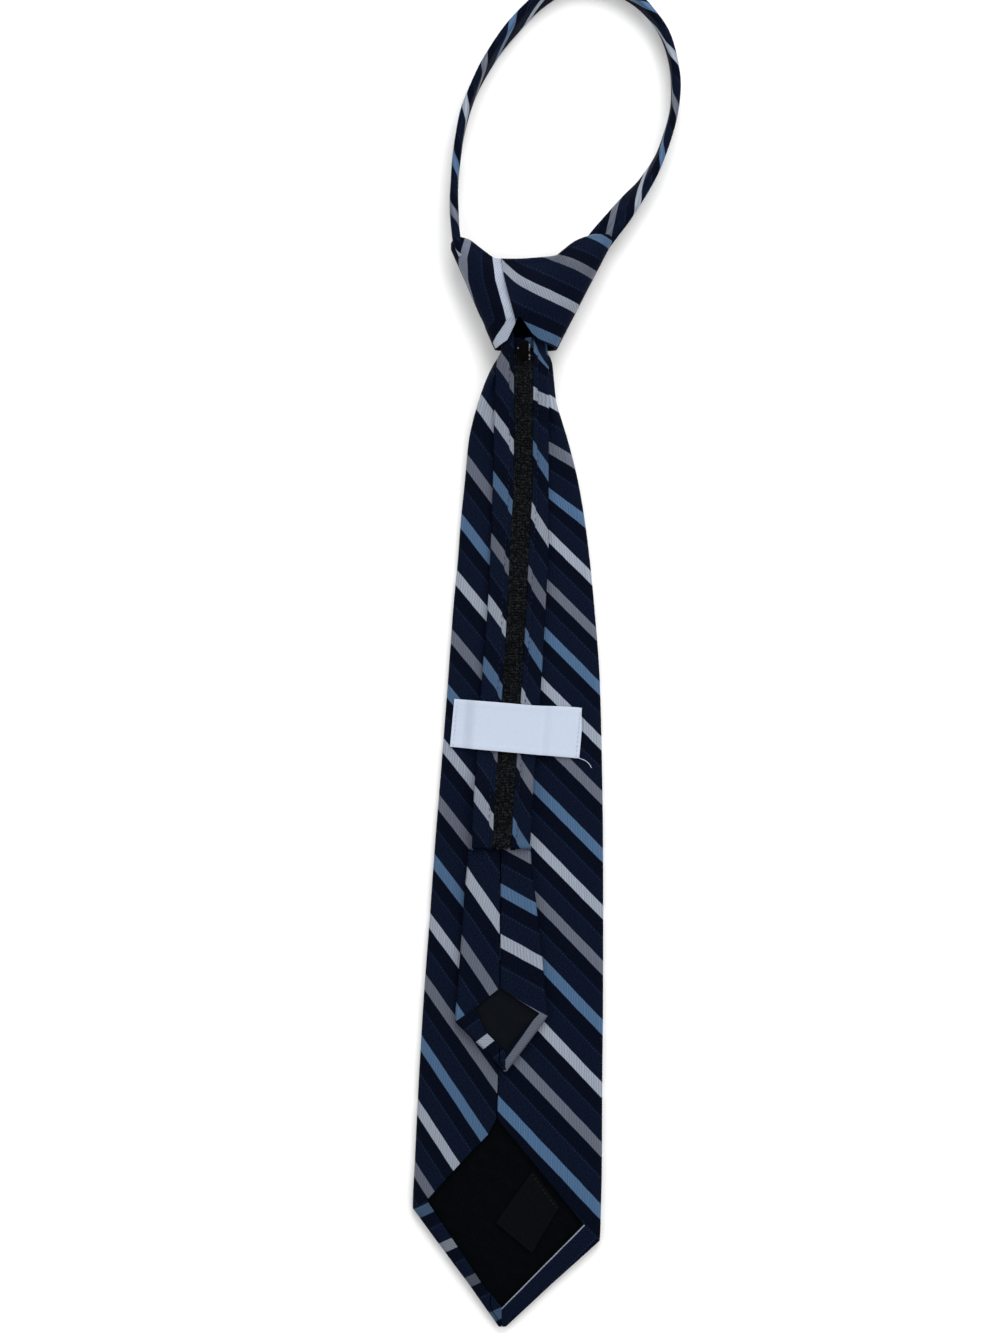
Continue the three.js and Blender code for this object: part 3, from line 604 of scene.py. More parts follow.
@dataclass(frozen=True)
class StripedSilk:
    """Navy silk twill with white, grey and blue stripes, each with a dark band below it."""

    name: str = "striped_silk"
    navy: tuple = shade(9, 16, 32)
    dark: tuple = shade(5, 9, 22)
    pin: tuple = shade(26, 36, 58)
    white: tuple = shade(134, 142, 156)
    grey: tuple = shade(84, 89, 103)
    blue: tuple = shade(60, 89, 121)
    stripe: float = 4.3
    band: float = 5.4
    soft: float = 0.12
    wander: float = 0.5
    fade: float = 0.4
    pin_gap: float = 0.4
    pin_share: float = 0.8
    rib_way: Triple = (-0.7071, 0.7071, 0.0)
    cross_way: Triple = (0.45, 0.89, 0.0)
    rib_step: float = 1.02
    cross_step: float = 0.46
    grain: float = 1.7

    def material(self) -> bpy.types.Material:
        """Returns the cloth's material, which reads the piece's cloth map."""
        material, n, shader = new_material(self.name)
        cloth = n.add("ShaderNodeUVMap", uv_map="cloth").outputs[0]
        across = n.add("ShaderNodeSeparateXYZ", {"Vector": cloth}).outputs["X"]
        yarns = lay_yarns(n, cloth, self)
        wander = n.math("MULTIPLY_ADD", n.noise(cloth, 0.12), self.wander, -self.wander / 2)
        phase = n.math("DIVIDE", n.math("ADD", across, wander), PITCH)
        index = n.math("ROUND", phase)
        off = n.math("MULTIPLY", n.math("SUBTRACT", phase, index), PITCH)
        half = self.stripe / 2
        bar = n.math("SUBTRACT", 1.0, n.span(n.math("ABSOLUTE", off), half - self.soft, half + self.soft))
        below = n.math("SUBTRACT", n.math("FLOORED_MODULO", n.math("ADD", off, PITCH), PITCH), half)
        band = n.math(
            "MULTIPLY",
            n.span(below, 0.0, 0.3),
            n.math("SUBTRACT", 1.0, n.span(below, self.band - self.fade, self.band)),
        )
        beside = n.math("ABSOLUTE", n.math("SUBTRACT", below, self.band + self.pin_gap))
        pin = n.math("SUBTRACT", 1.0, n.span(beside, 0.08, 0.3))
        dash = n.span(yarns["Ribs"], 0.35, 0.65)
        pin = n.math("MULTIPLY", n.math("MULTIPLY", pin, dash), self.pin_share)
        kind = n.math("FLOORED_MODULO", n.math("ADD", index, 300.0), 3.0)
        is_grey = n.math("COMPARE", kind, 1.0, 0.4)
        is_blue = n.math("COMPARE", kind, 2.0, 0.4)
        bars = n.blend(is_blue, n.blend(is_grey, self.white, self.grey), self.blue)
        streak_place = n.vector("DOT_PRODUCT", cloth, (-0.7071, 0.7071, 0.0))
        streak_place = n.add("ShaderNodeCombineXYZ", {"X": streak_place, "Y": 0.0, "Z": 0.0}).outputs[0]
        streak = n.noise(streak_place, 1.4, 3.0)
        rib = n.math("MULTIPLY_ADD", yarns["Ribs"], 0.34, 0.80)
        weave_and_painted_light = n.math("MULTIPLY", rib, n.math("MULTIPLY_ADD", streak, 0.6, 0.70))
        # painted light and shade: each face's share makes the stripe colours lighter or darker
        painted_light_gain = n.math("ADD", n.add("ShaderNodeAttribute", attribute_name="painted_light").outputs["Fac"], 1.0)
        weave_and_painted_light = n.math("MULTIPLY", weave_and_painted_light, painted_light_gain)
        bars = n.dim(bars, weave_and_painted_light)
        speck = n.math("MAXIMUM", n.math("MULTIPLY_ADD", yarns["Grain"], 3.2, -0.6), 0.25)
        speck = n.math("MULTIPLY", speck, n.math("MULTIPLY_ADD", yarns["Cross"], 0.24, 0.88))
        ground = n.blend(band, self.navy, self.dark)
        ground = n.dim(ground, speck)
        ground = n.blend(pin, ground, self.pin)
        n.feed(shader.inputs["Base Color"], n.blend(bar, ground, bars))
        rough = n.math("MULTIPLY_ADD", yarns["Grain"], 0.16, 0.52)
        n.feed(shader.inputs["Roughness"], n.math("MULTIPLY_ADD", bar, -0.14, rough))
        n.feed(shader.inputs["Specular IOR Level"], n.math("MULTIPLY_ADD", bar, 0.2, 0.015))
        relief(n, shader, n.math("MULTIPLY_ADD", bar, 0.5, yarns["Height"]), 0.06)
        return material


@dataclass(frozen=True)
class PlainCloth:
    """Fine cloth of one colour: satin, ribbon, label satin or knit, by its numbers."""

    name: str
    colour: tuple
    fleck: tuple
    rib_way: Triple = (1.0, 0.0, 0.0)
    cross_way: Triple = (0.0, 1.0, 0.0)
    rib_step: float = 0.3
    cross_step: float = 0.3
    grain: float = 1.5
    fleck_share: float = 0.5
    fleck_range: Pair = (0.35, 0.75)
    rough: float = 0.5
    specular: float = 0.12
    depth: float = 0.03

    def material(self) -> bpy.types.Material:
        """Returns the cloth's material, which reads Object coordinates."""
        material, n, shader = new_material(self.name)
        place = object_millimetres(n)
        yarns = lay_yarns(n, place, self)
        broad = n.noise(place, 0.06, 2.0)
        share = n.math("MULTIPLY", n.span(yarns["Grain"], *self.fleck_range), self.fleck_share)
        crossing = n.math("MULTIPLY", yarns["Ribs"], yarns["Cross"])
        share = n.math("MULTIPLY_ADD", crossing, 0.4 * self.fleck_share, share)
        share = n.math("MULTIPLY_ADD", broad, 0.2 * self.fleck_share, share)
        n.feed(shader.inputs["Base Color"], n.blend(share, self.colour, self.fleck))
        rough = n.math("MULTIPLY_ADD", yarns["Grain"], 0.2, self.rough - 0.1)
        n.feed(shader.inputs["Roughness"], rough)
        shader.inputs["Specular IOR Level"].default_value = self.specular
        relief(n, shader, yarns["Height"], self.depth)
        return material


@dataclass(frozen=True)
class EnamelWithPaintedGlints:
    """Black enamel on metal, with silver bare metal painted along the slider's rails as glints."""

    name: str = "enamel_painted_glints"
    black: tuple = shade(3, 3, 4)
    # silver of the painted glints
    bare: tuple = shade(120, 118, 122)

    def material(self) -> bpy.types.Material:
        """Returns the slider's material; a per-corner attribute says where silver is painted in as glints."""
        material, n, shader = new_material(self.name)
        place = object_millimetres(n)
        painted_glint = n.add("ShaderNodeAttribute", attribute_name="painted_glint").outputs["Fac"]
        # painted glints: the enamel turns to silver bare metal where the attribute plus noise passes 0.62
        patch = n.math("MULTIPLY_ADD", n.noise(place, 0.9, 4.0), 1.1, -0.35)
        share = n.span(n.math("ADD", painted_glint, patch), 0.62, 0.8)
        n.feed(shader.inputs["Base Color"], n.blend(share, self.black, self.bare))
        n.feed(shader.inputs["Metallic"], n.math("MULTIPLY", share, 0.85))
        n.feed(shader.inputs["Roughness"], n.math("MULTIPLY_ADD", n.noise(place, 6.0), 0.25, 0.3))
        shader.inputs["Specular IOR Level"].default_value = 0.02
        relief(n, shader, n.noise(place, 4.0, 4.0), 0.05)
        return material


@dataclass(frozen=True)
class FloorFinish:
    """Plain pale floor with a barely uneven tone."""

    name: str = "pale_floor"

    def material(self) -> bpy.types.Material:
        """Returns the floor's material."""
        material, n, shader = new_material(self.name)
        place = n.add("ShaderNodeTexCoord").outputs["Object"]
        tone = n.noise(place, 3.0, 2.0)
        n.feed(shader.inputs["Base Color"], n.blend(tone, shade(247, 247, 247), shade(252, 252, 251)))
        shader.inputs["Roughness"].default_value = 0.9
        shader.inputs["Specular IOR Level"].default_value = 0.1
        return material


# ---------------------------------------------------------------- rows of stitches


class StitchTree:
    """Geometry Nodes tree that sets small stitches along a path."""

    NAME = "stitch_run"
    INPUTS = (
        ("Spacing", "NodeSocketFloat"),
        ("Length", "NodeSocketFloat"),
        ("Thick", "NodeSocketFloat"),
        ("Turn", "NodeSocketFloat"),
        ("Jitter", "NodeSocketFloat"),
        ("Seed", "NodeSocketInt"),
        ("Material", "NodeSocketMaterial"),
    )

    @classmethod
    def get(cls) -> bpy.types.NodeTree:
        """Returns the tree, built once."""
        return bpy.data.node_groups.get(cls.NAME) or cls.build()

    @classmethod
    def build(cls) -> bpy.types.NodeTree:
        """Returns a new tree."""
        tree = bpy.data.node_groups.new(cls.NAME, "GeometryNodeTree")
        tree.interface.new_socket("Geometry", in_out="INPUT", socket_type="NodeSocketGeometry")
        for name, kind in cls.INPUTS:
            tree.interface.new_socket(name, in_out="INPUT", socket_type=kind)
        tree.interface.new_socket("Geometry", in_out="OUTPUT", socket_type="NodeSocketGeometry")
        n = Nodes(tree)
        inp = n.add("NodeGroupInput").outputs
        curve = n.add("GeometryNodeMeshToCurve", {"Mesh": inp["Geometry"]}).outputs[0]
        points = n.add("GeometryNodeCurveToPoints", {"Curve": curve, "Length": inp["Spacing"]}, mode="LENGTH")
        bead = n.add("GeometryNodeMeshUVSphere", {"Segments": 6, "Rings": 4, "Radius": 0.5}).outputs[0]
        sides = {"X": inp["Length"], "Y": inp["Thick"], "Z": inp["Thick"]}
        size = n.add("ShaderNodeCombineXYZ", sides).outputs[0]
        bead = n.add("GeometryNodeTransform", {"Geometry": bead, "Scale": size}).outputs[0]
        bead = n.add("GeometryNodeSetShadeSmooth", {"Geometry": bead}).outputs[0]
        ahead = {"Vector": points.outputs["Tangent"]}
        along = n.add("FunctionNodeAlignRotationToVector", ahead, axis="X").outputs[0]
        low = n.math("MULTIPLY", inp["Jitter"], -1.0)
        chance = n.add("FunctionNodeRandomValue", data_type="FLOAT")
        socket = {s.name: s for s in chance.inputs if s.enabled}
        n.feed(socket["Min"], low)
        n.feed(socket["Max"], inp["Jitter"])
        n.feed(socket["Seed"], inp["Seed"])
        value = next(s for s in chance.outputs if s.enabled)
        angle = n.math("ADD", value, inp["Turn"])
        turn = n.add("ShaderNodeCombineXYZ", {"X": 0.0, "Y": 0.0, "Z": angle}).outputs[0]
        turn = n.add("FunctionNodeEulerToRotation", {0: turn}).outputs[0]
        turned = n.add(
            "FunctionNodeRotateRotation", {"Rotation": along, "Rotate By": turn}, rotation_space="LOCAL"
        ).outputs[0]
        set_on = n.add(
            "GeometryNodeInstanceOnPoints",
            {"Points": points.outputs[0], "Instance": bead, "Rotation": turned},
        ).outputs[0]
        real = n.add("GeometryNodeRealizeInstances", {"Geometry": set_on}).outputs[0]
        done = n.add("GeometryNodeSetMaterial", {"Geometry": real, "Material": inp["Material"]}).outputs[0]
        n.feed(n.add("NodeGroupOutput").inputs[0], done)
        return tree


@dataclass
class StitchRun:
    """One kind of stitch along one or more paths of tie points."""

    paths: list[list[Triple]]
    spacing: float
    length: float
    thick: float
    turn: float = 0.0
    jitter: float = 6.0
    seed: int = 3

    def build(self, name: str, material: bpy.types.Material) -> bpy.types.Object:
        """Returns the stitches as one plain mesh piece.

        Args:
            name: the piece's name.
            material: the thread.

        Returns:
            The piece, not yet handed over.
        """
        mesh = bpy.data.meshes.new(name)
        verts = [world(point) for path in self.paths for point in path]
        edges, start = [], 0
        for path in self.paths:
            edges += [(start + i, start + i + 1) for i in range(len(path) - 1)]
            start += len(path)
        mesh.from_pydata(verts, edges, [])
        piece = bpy.data.objects.new(name, mesh)
        bpy.context.collection.objects.link(piece)
        modifier = piece.modifiers.new("stitches", "NODES")
        modifier.node_group = StitchTree.get()
        given = {
            "Spacing": self.spacing * MM,
            "Length": self.length * MM,
            "Thick": self.thick * MM,
            "Turn": math.radians(self.turn),
            "Jitter": math.radians(self.jitter),
            "Seed": self.seed,
            "Material": material,
        }
        for item in StitchTree.get().interface.items_tree:
            if item.in_out == "INPUT" and item.name in given:
                modifier[item.identifier] = given[item.name]
        settle(piece, sharp=180)
        return piece


def join(name: str, pieces: list[bpy.types.Object]) -> bpy.types.Object:
    """Returns one piece made of several meshes of the same material."""
    bm = bmesh.new()
    for piece in pieces:
        bm.from_mesh(piece.data)
        bpy.data.objects.remove(piece)
    mesh = bpy.data.meshes.new(name)
    bm.to_mesh(mesh)
    bm.free()
    return link(name, mesh)


# ---------------------------------------------------------------- blades


@dataclass
class FoldedBlade:
    """A blade of striped silk: a face, two flaps turned to the back, and hems at the tip."""

    name: str
    node: str
    length: float
    width: float
    top: float
    wall: float
    thick: float
    floor: float
    rows: Table
    mouth: tuple[Pair, ...]
    corners: tuple[Pair, Pair, Pair]
    hem_corners: tuple[Pair, Pair, Pair]
    left_marks: tuple[Pair, ...]
    right_marks: tuple[Pair, ...]
    left_slope: Table
    right_slope: Table
    seam_top: float
    seed: int
    step: float = 2.0
    lift: bool = False
    face_turns: float = 3.0
    left_hem_shift: float = 0.0
    right_hem_count: float | None = None
    # painted light and shade: for each region, the share by which its stripes are made lighter or darker
    painted_lights: dict[Region, float] = field(default_factory=dict)

    def edges(self, down) -> Arrays:
        """Returns the left and right edges, smooth down to the corners and straight below."""
        rows = self.rows.column("down")
        found = []
        for name, corner in zip(("left", "right"), self.corners):
            straight = np.interp(down, rows, self.rows.column(name))
            share = np.where(np.asarray(down) < self.down_of(corner), self.rows.read(name, down), straight)
            found.append(share * self.width)
        return found[0], found[1]

    def down_of(self, point: Pair) -> float:
        """Returns a point's share of the length."""
        return (self.top - point[1]) / self.length

    def low(self, down) -> np.ndarray:
        """Returns the height of the face's outer side."""
        return self.floor + (np.maximum(self.rows.read("lift", down), 0) * 20 if self.lift else 0 * down)

    def full(self, down) -> np.ndarray:
        """Returns the blade's thickness."""
        return self.thick * (self.rows.read("full", down) if self.lift else 1 + 0 * down)

    def seam_x(self, y) -> np.ndarray:
        """Returns where the two flaps meet."""
        apex = self.mouth_points()[0]
        return read_curve(y, (apex[1], self.top), (apex[0], self.seam_top))

    def mouth_points(self) -> list[Pair]:
        """Returns the corners of the opening above the tip."""
        return [(x * self.width, self.top - down * self.length) for x, down in self.mouth]

    def points(self) -> Arrays:
        """Returns the net's places, and how each lies on the flat cloth."""
        count = int(self.length * (1 - self.rows.rows[0][0]) / self.step)
        downs = np.linspace(self.rows.rows[0][0], 0.9965, count)
        downs = np.sort(np.append(downs, [self.down_of(corner) for corner in self.corners[:2]]))
        rows, lies = [], []
        for down in downs:
            left, right = (float(e) for e in self.edges(down))
            low, thick = float(self.low(down)), float(self.full(down))
            y = self.top - down * self.length
            half = (right - left) / 2
            r = min(thick / 2, 0.8 * half)
            seam = min(max(float(self.seam_x(y)), left + half * 0.3), right - half * 0.3)
            inner_left, inner_right = left + r, right - r
            if inner_right - inner_left > 0.6:
                seam = min(max(seam, inner_left + 0.2), inner_right - 0.2)
            else:
                seam = (left + right) / 2
            high = low + thick
            ring = [(x, high, x) for x in np.linspace(seam - 0.2, inner_left, 18)[:-1]]
            ring += self.roll(inner_left, left, r, low, thick, Side.LEFT)
            for x in np.linspace(inner_left, inner_right, 30)[1:-1]:
                ring.append((x, low, left + math.pi * r / 2 + (x - inner_left)))
            ring += self.roll(inner_right, right, r, low, thick, Side.RIGHT)[::-1]
            ring += [(x, high, x) for x in np.linspace(inner_right, seam + 0.2, 18)[1:]]
            rows.append([(x, y, z) for x, z, _ in ring])
            lies.append([(flat, y) for _, _, flat in ring])
        return np.array(rows), np.array(lies)

    @staticmethod
    def roll(inner: float, edge: float, r: float, low: float, thick: float, side: Side) -> list[Triple]:
        """Returns a rolled edge, from the back round to the face.

        Args:
            inner: where the roll starts across the tie.
            edge: where the edge is.
            r: how far the roll reaches out.
            low: the height of the face.
            thick: the blade's thickness.
            side: which edge.

        Returns:
            For each point its place across, its height and its place on the flat cloth.
        """
        ring = []
        for turn in np.linspace(0, math.pi, 13):
            x = inner + side.value * r * math.sin(turn)
            lie = x if turn < 1.6 else edge - side.value * r * (turn - math.pi / 2)
            ring.append((x, low + thick / 2 * (1 + math.cos(turn)), lie))
        return ring

    def soften(self, points: np.ndarray) -> None:
        """Adds the lie of real cloth: ripples, folds by the knot, seam and mitre grooves."""
        x, y, z = points[..., 0], points[..., 1], points[..., 2]
        down = (self.top - y) / self.length
        middle = self.low(down) + self.full(down) / 2
        back = ease(z - middle, -0.1, self.thick * 0.4)
        wave = 0.28 * ripple(x, y, (34, 70), self.seed) + 0.10 * ripple(x, y, (11, 24), self.seed + 1)
        seam = -0.5 * np.exp(-((x - self.seam_x(y)) / 0.8) ** 2) * (y > self.mouth_points()[0][1] - 1)
        groove = np.zeros_like(x)
        for a, b in zip(self.corners, self.hem_corners):
            groove = groove - 0.4 * np.exp(-((line_distance(x, y, a, b) / 0.55) ** 2))
        points[..., 2] = z + back * (wave + seam + groove)
        if self.lift:
            near = ease(down, 0.16, 0.0)
            fan = np.arctan2(x, 14 - y)
            folds = 0.55 * np.sin(fan * 26 + 0.8) + 0.35 * np.sin(fan * 41 + 2.0)
            points[..., 2] += near * back * folds
            face = 1 - back
            dent = 1.6 * hump(x, 0, 5.5) * ease(down, 0.16, 0.03)
            points[..., 2] += face * dent
        points[..., 2] = np.maximum(points[..., 2], self.floor + 0.01)

    def flap_phase(self, x, y, side: Side) -> np.ndarray:
        """Returns the stripes' count at places on a flap."""
        first = side is Side.LEFT
        marks, slopes = (self.left_marks, self.left_slope) if first else (self.right_marks, self.right_slope)
        met = meeting(x, y, lambda h: self.straight(h)[0 if first else 1], lambda h: slopes.read("slope", h))
        return read_curve(met, *zip(*marks))

    def straight(self, y) -> Arrays:
        """Returns the sides' places as if they ran on straight past the corners."""
        (ax, ay), (bx, by), _ = self.corners
        left, right = self.edges((self.top - y) / self.length)
        return np.where(y < ay, ax, left), np.where(y < by, bx, right)

    def face_phase(self, x, y) -> np.ndarray:
        """Returns the stripes' count on the face, seen through the tie."""
        left, right = self.straight(y)
        share = (x - left) / (right - left)
        a, b = (read_curve(y, *zip(*marks)) for marks in (self.left_marks, self.right_marks))
        return a + (b + self.face_turns - a) * share

    def region(self, face: Face, back: bool) -> Region:
        """Returns the part of the blade that a face belongs to."""
        if not back:
            return Region.FACE
        c = face.calc_center_median()
        a, b, tip = self.corners
        in_a, in_b, in_tip = self.hem_corners
        far, fall = 30.0, 15.0
        for corner, inner, way, kind in ((a, in_a, -1, Region.HEM_LEFT), (b, in_b, 1, Region.HEM_RIGHT)):
            out, foot = corner[0] + way * far, tip[1] - far
            hem = [(out, corner[1] + fall), corner, inner, in_tip, tip, (tip[0], foot), (out, foot)]
            if inside(c.x, c.y, hem):
                return kind
        return Region.FLAP_LEFT if c.x < float(self.seam_x(c.y)) else Region.FLAP_RIGHT

    def cloth_maps(self) -> dict[Region, ClothRule]:
        """Returns the rules that give each region its places on the cloth."""
        a, b, tip = self.corners

        def flap(side: Side, along: Pair) -> ClothRule:
            """Returns the rule of a flap."""
            return lambda x, y, z, u, v: (self.flap_phase(u, v, side) * PITCH, along[0] * u + along[1] * v)

        def face(corner: Pair | None, shift: float = 0.0) -> ClothRule:
            """Returns the rule of the face, or of a hem that is turned back from it."""

            def rule(x, y, z, u, v) -> Arrays:
                """Returns the cloth's places, across the stripes and along them."""
                p, q = reflect(x, y, corner, tip) if corner else (u, v)
                return (self.face_phase(p, q) + shift) * PITCH, -0.7 * p - 0.7 * q

            return rule

        def right_hem() -> ClothRule:
            """Returns the rule of the right hem, whose stripes run with its inner edge."""
            if self.right_hem_count is None:
                return face(b)
            (px, py), (qx, qy) = self.hem_corners[1:]
            long = math.hypot(qx - px, qy - py)
            way = ((qx - px) / long, (qy - py) / long)

            def rule(x, y, z, u, v) -> Arrays:
                """Returns the cloth's places, across the stripes and along them."""
                out = (x - px) * -way[1] + (y - py) * way[0]
                return self.right_hem_count * PITCH - out, x * way[0] + y * way[1]

            return rule

        return {
            Region.FACE: face(None),
            Region.HEM_LEFT: face(a, self.left_hem_shift),
            Region.HEM_RIGHT: right_hem(),
            Region.FLAP_LEFT: flap(Side.LEFT, (0.59, -0.81)),
            Region.FLAP_RIGHT: flap(Side.RIGHT, (0.7, -0.7)),
        }

    def build(
        self, material: bpy.types.Material, flat: Pair, area: float, rests_on: tuple[str, ...]
    ) -> bpy.types.Object:
        """Builds the blade and hands it over.

        Args:
            material: the silk.
            flat: width and length of the cut cloth, in metres; not used.
            area: flat area of the cut, in square metres; not used.
            rests_on: what it lies on; not used.

        Returns:
            The piece.
        """
        points, lies = self.points()
        levels = self.low((self.top - points[..., 1]) / self.length)
        middle = levels + self.full((self.top - points[..., 1]) / self.length) / 2
        backs = (points[..., 2] > middle + 0.02).astype(float)
        self.soften(points)
        net = Net(points, lies)
        columns = points.shape[1]
        net.bm.faces.ensure_lookup_table()
        for index, face in enumerate(net.bm.faces):
            r, c = divmod(index, columns - 1)
            face[net.side] = int(backs[r, c] + backs[r, c + 1] > 0.5)
        mouth = self.mouth_points()
        net.cut(mouth, keep=False, only=1)
        for a, b in zip(self.corners, self.hem_corners):
            net.split(a, b, 1.0, only=1)
        net.dress(self.cloth_maps(), lambda face: self.region(face, bool(face[net.side])), self.painted_lights)
        piece = net.to_object(self.name, up=lambda face: face.normal.z * (1 if face[net.side] else -1))
        thicken(piece, self.wall, 0.3)
        return hand_over(piece, material, (self.node,))


FRONT_ROWS = Table(
    "down left right lift full",
    (
        (-0.012, -0.121, 0.123, 0.155, 1.74),
        (0.002, -0.120, 0.127, 0.155, 1.74),
        (0.012, -0.155, 0.150, 0.148, 1.78),
        (0.031, -0.204, 0.161, 0.124, 1.74),
        (0.051, -0.241, 0.172, 0.096, 1.66),
        (0.072, -0.273, 0.204, 0.070, 1.56),
        (0.092, -0.295, 0.236, 0.045, 1.44),
        (0.133, -0.316, 0.290, 0.015, 1.24),
        (0.174, -0.338, 0.327, 0.0, 1.12),
        (0.215, -0.354, 0.354, 0.0, 1.05),
        (0.256, -0.375, 0.375, 0.0, 1.0),
        (0.338, -0.407, 0.407, 0.0, 1.0),
        (0.420, -0.440, 0.418, 0.0, 1.0),
        (0.502, -0.475, 0.424, 0.0, 1.0),
        (0.584, -0.506, 0.425, 0.0, 1.0),
        (0.666, -0.538, 0.424, 0.0, 1.0),
        (0.747, -0.563, 0.420, 0.0, 1.0),
        (0.829, -0.584, 0.418, 0.0, 1.0),
        (0.876, -0.595, 0.413, 0.0, 1.0),
        (0.909, -0.468, 0.407, 0.0, 1.0),
        (0.954, -0.293, 0.145, 0.0, 1.0),
        (1.000, -0.124, -0.112, 0.0, 0.8),
    ),
)
TAIL_ROWS = Table(
    "down left right",
    (
        (0.000, -0.477, 0.000),
        (0.150, -0.520, 0.030),
        (0.190, -0.601, 0.076),
        (0.237, -0.612, 0.082),
        (0.352, -0.645, 0.125),
        (0.448, -0.663, 0.152),
        (0.563, -0.688, 0.192),
        (0.685, -0.715, 0.228),
        (0.793, -0.739, 0.258),
        (0.819, -0.739, 0.211),
        (0.908, -0.466, 0.016),
        (1.000, -0.212, -0.188),
    ),
)
FRONT = FoldedBlade(
    name="front_blade_silk",
    node="front_blade",
    length=398,
    width=76,
    top=0,
    wall=0.9,
    thick=4.2,
    floor=0,
    rows=FRONT_ROWS,
    mouth=(
        (-0.145, 0.783),
        (-0.193, 0.800),
        (-0.349, 0.831),
        (-0.520, 0.867),
        (-0.225, 0.952),
        (-0.120, 0.976),
        (-0.102, 0.974),
        (0.322, 0.892),
    ),
    corners=((-45.2, -348.8), (31.0, -361.9), (-9.0, -397.7)),
    hem_corners=((-39.5, -345.1), (24.5, -355.0), (-9.1, -389.0)),
    left_marks=(
        (-20.8, 0), (-45.0, 1), (-68.9, 2), (-92.0, 3), (-115.7, 4), (-137.9, 5), (-160.1, 6),
        (-183.2, 7), (-207.2, 8), (-231.3, 9), (-256.2, 10), (-281.0, 11), (-307.1, 12), (-332.2, 13),
    ),
    right_marks=(
        (-22.5, 0), (-45.3, 1), (-69.2, 2), (-92.5, 3), (-115.3, 4), (-137.3, 5), (-159.6, 6), (-181.9, 7),
        (-205.2, 8), (-228.4, 9), (-250.9, 10), (-275.2, 11), (-300.7, 12), (-324.8, 13), (-350.0, 14),
    ),
    left_slope=Table(
        "y slope",
        (
            (0, 1.40), (-45, 1.37), (-70, 1.29), (-93, 1.20), (-130, 1.22),
            (-200, 1.30), (-250, 1.40), (-282, 1.50), (-333, 1.56),
        ),
    ),
    right_slope=Table(
        "y slope",
        (
            (-20, 0.50), (-44, 0.57), (-66, 0.73), (-88, 0.98),
            (-130, 1.0), (-230, 1.02), (-270, 1.05), (-350, 1.06),
        ),
    ),
    seam_top=0,
    seed=11,
    lift=True,
    left_hem_shift=0.20,
    right_hem_count=17.897,
    # painted shade: the stripes on the flaps and hems are darkened, the left hem most
    painted_lights={Region.FLAP_LEFT: -0.12, Region.FLAP_RIGHT: -0.02, Region.HEM_LEFT: -0.5, Region.HEM_RIGHT: -0.1},
)
TAIL = FoldedBlade(
    name="tail_blade_silk",
    node="tail_blade",
    length=110,
    width=37.6,
    top=-182.6,
    wall=0.8,
    thick=3.6,
    floor=4.5,
    rows=TAIL_ROWS,
    mouth=((-0.260, 0.689), (-0.531, 0.763), (-0.423, 0.848), (-0.200, 0.925), (0.168, 0.783)),
    corners=((-27.9, -272.2), (9.7, -269.9), (-7.5, -292.5)),
    hem_corners=((-20.0, -266.5), (6.3, -268.7), (-7.5, -284.3)),
    left_marks=((-185.4, -1), (-212.7, 0), (-240.2, 1), (-267.7, 2)),
    right_marks=((-184.6, 0), (-205.8, 1), (-226.8, 2), (-248.7, 3), (-273.0, 4)),
    left_slope=Table("y slope", ((-180, 1.43), (-240, 1.50), (-290, 1.52))),
    right_slope=Table("y slope", ((-180, 0.55), (-290, 0.56))),
    seam_top=-9.4,
    seed=23,
    step=1.3,
    face_turns=0.0,
    # painted shade: the stripes on the tail's flaps and hems are darkened
    painted_lights={Region.FLAP_LEFT: -0.1, Region.FLAP_RIGHT: -0.1, Region.HEM_LEFT: -0.15, Region.HEM_RIGHT: -0.15},
)


# ---------------------------------------------------------------- zipper bands and strip

BAND_ROWS = Table(
    "down left right middle",
    (
        (0.000, -0.320, 0.312, -0.008),
        (0.018, -0.350, 0.340, -0.008),
        (0.035, -0.385, 0.370, -0.008),
        (0.051, -0.450, 0.407, -0.008),
        (0.086, -0.475, 0.418, -0.008),
        (0.147, -0.501, 0.418, -0.008),
        (0.285, -0.526, 0.418, -0.017),
        (0.404, -0.560, 0.418, -0.070),
        (0.524, -0.611, 0.370, -0.120),
        (0.645, -0.696, 0.312, -0.178),
        (0.832, -0.810, 0.195, -0.288),
        (0.906, -0.849, 0.144, -0.335),
        (1.000, -0.883, 0.102, -0.372),
    ),
)


@dataclass
class ZipBed:
    """Where the bands and the zipper lie: their edges, and the height of what carries them."""

    length: float = 208.6
    span: float = 24.0
    start: float = 6.5
    showing: float = 7.7
    clear: float = 0.3
    climb: float = 16.0
    spare: float = 2.0

    def down(self, y) -> np.ndarray:
        """Returns the share of the bands' length at a height on the tie."""
        return (self.start - np.asarray(y, float)) / self.length

    def edge(self, y, column: str) -> np.ndarray:
        """Returns the left, right or middle line at a height on the tie."""
        return BAND_ROWS.read(column, self.down(y)) * self.span

    def low(self, y) -> np.ndarray:
        """Returns the height on which the bands lie."""
        down = -np.asarray(y, float) / FRONT.length
        bed = FRONT.low(down) + FRONT.full(down)
        rise = ease(TAIL.top + self.climb + self.spare - np.asarray(y, float), 0, self.climb)
        return bed + self.clear + rise * (TAIL.thick + self.clear)


BED = ZipBed()


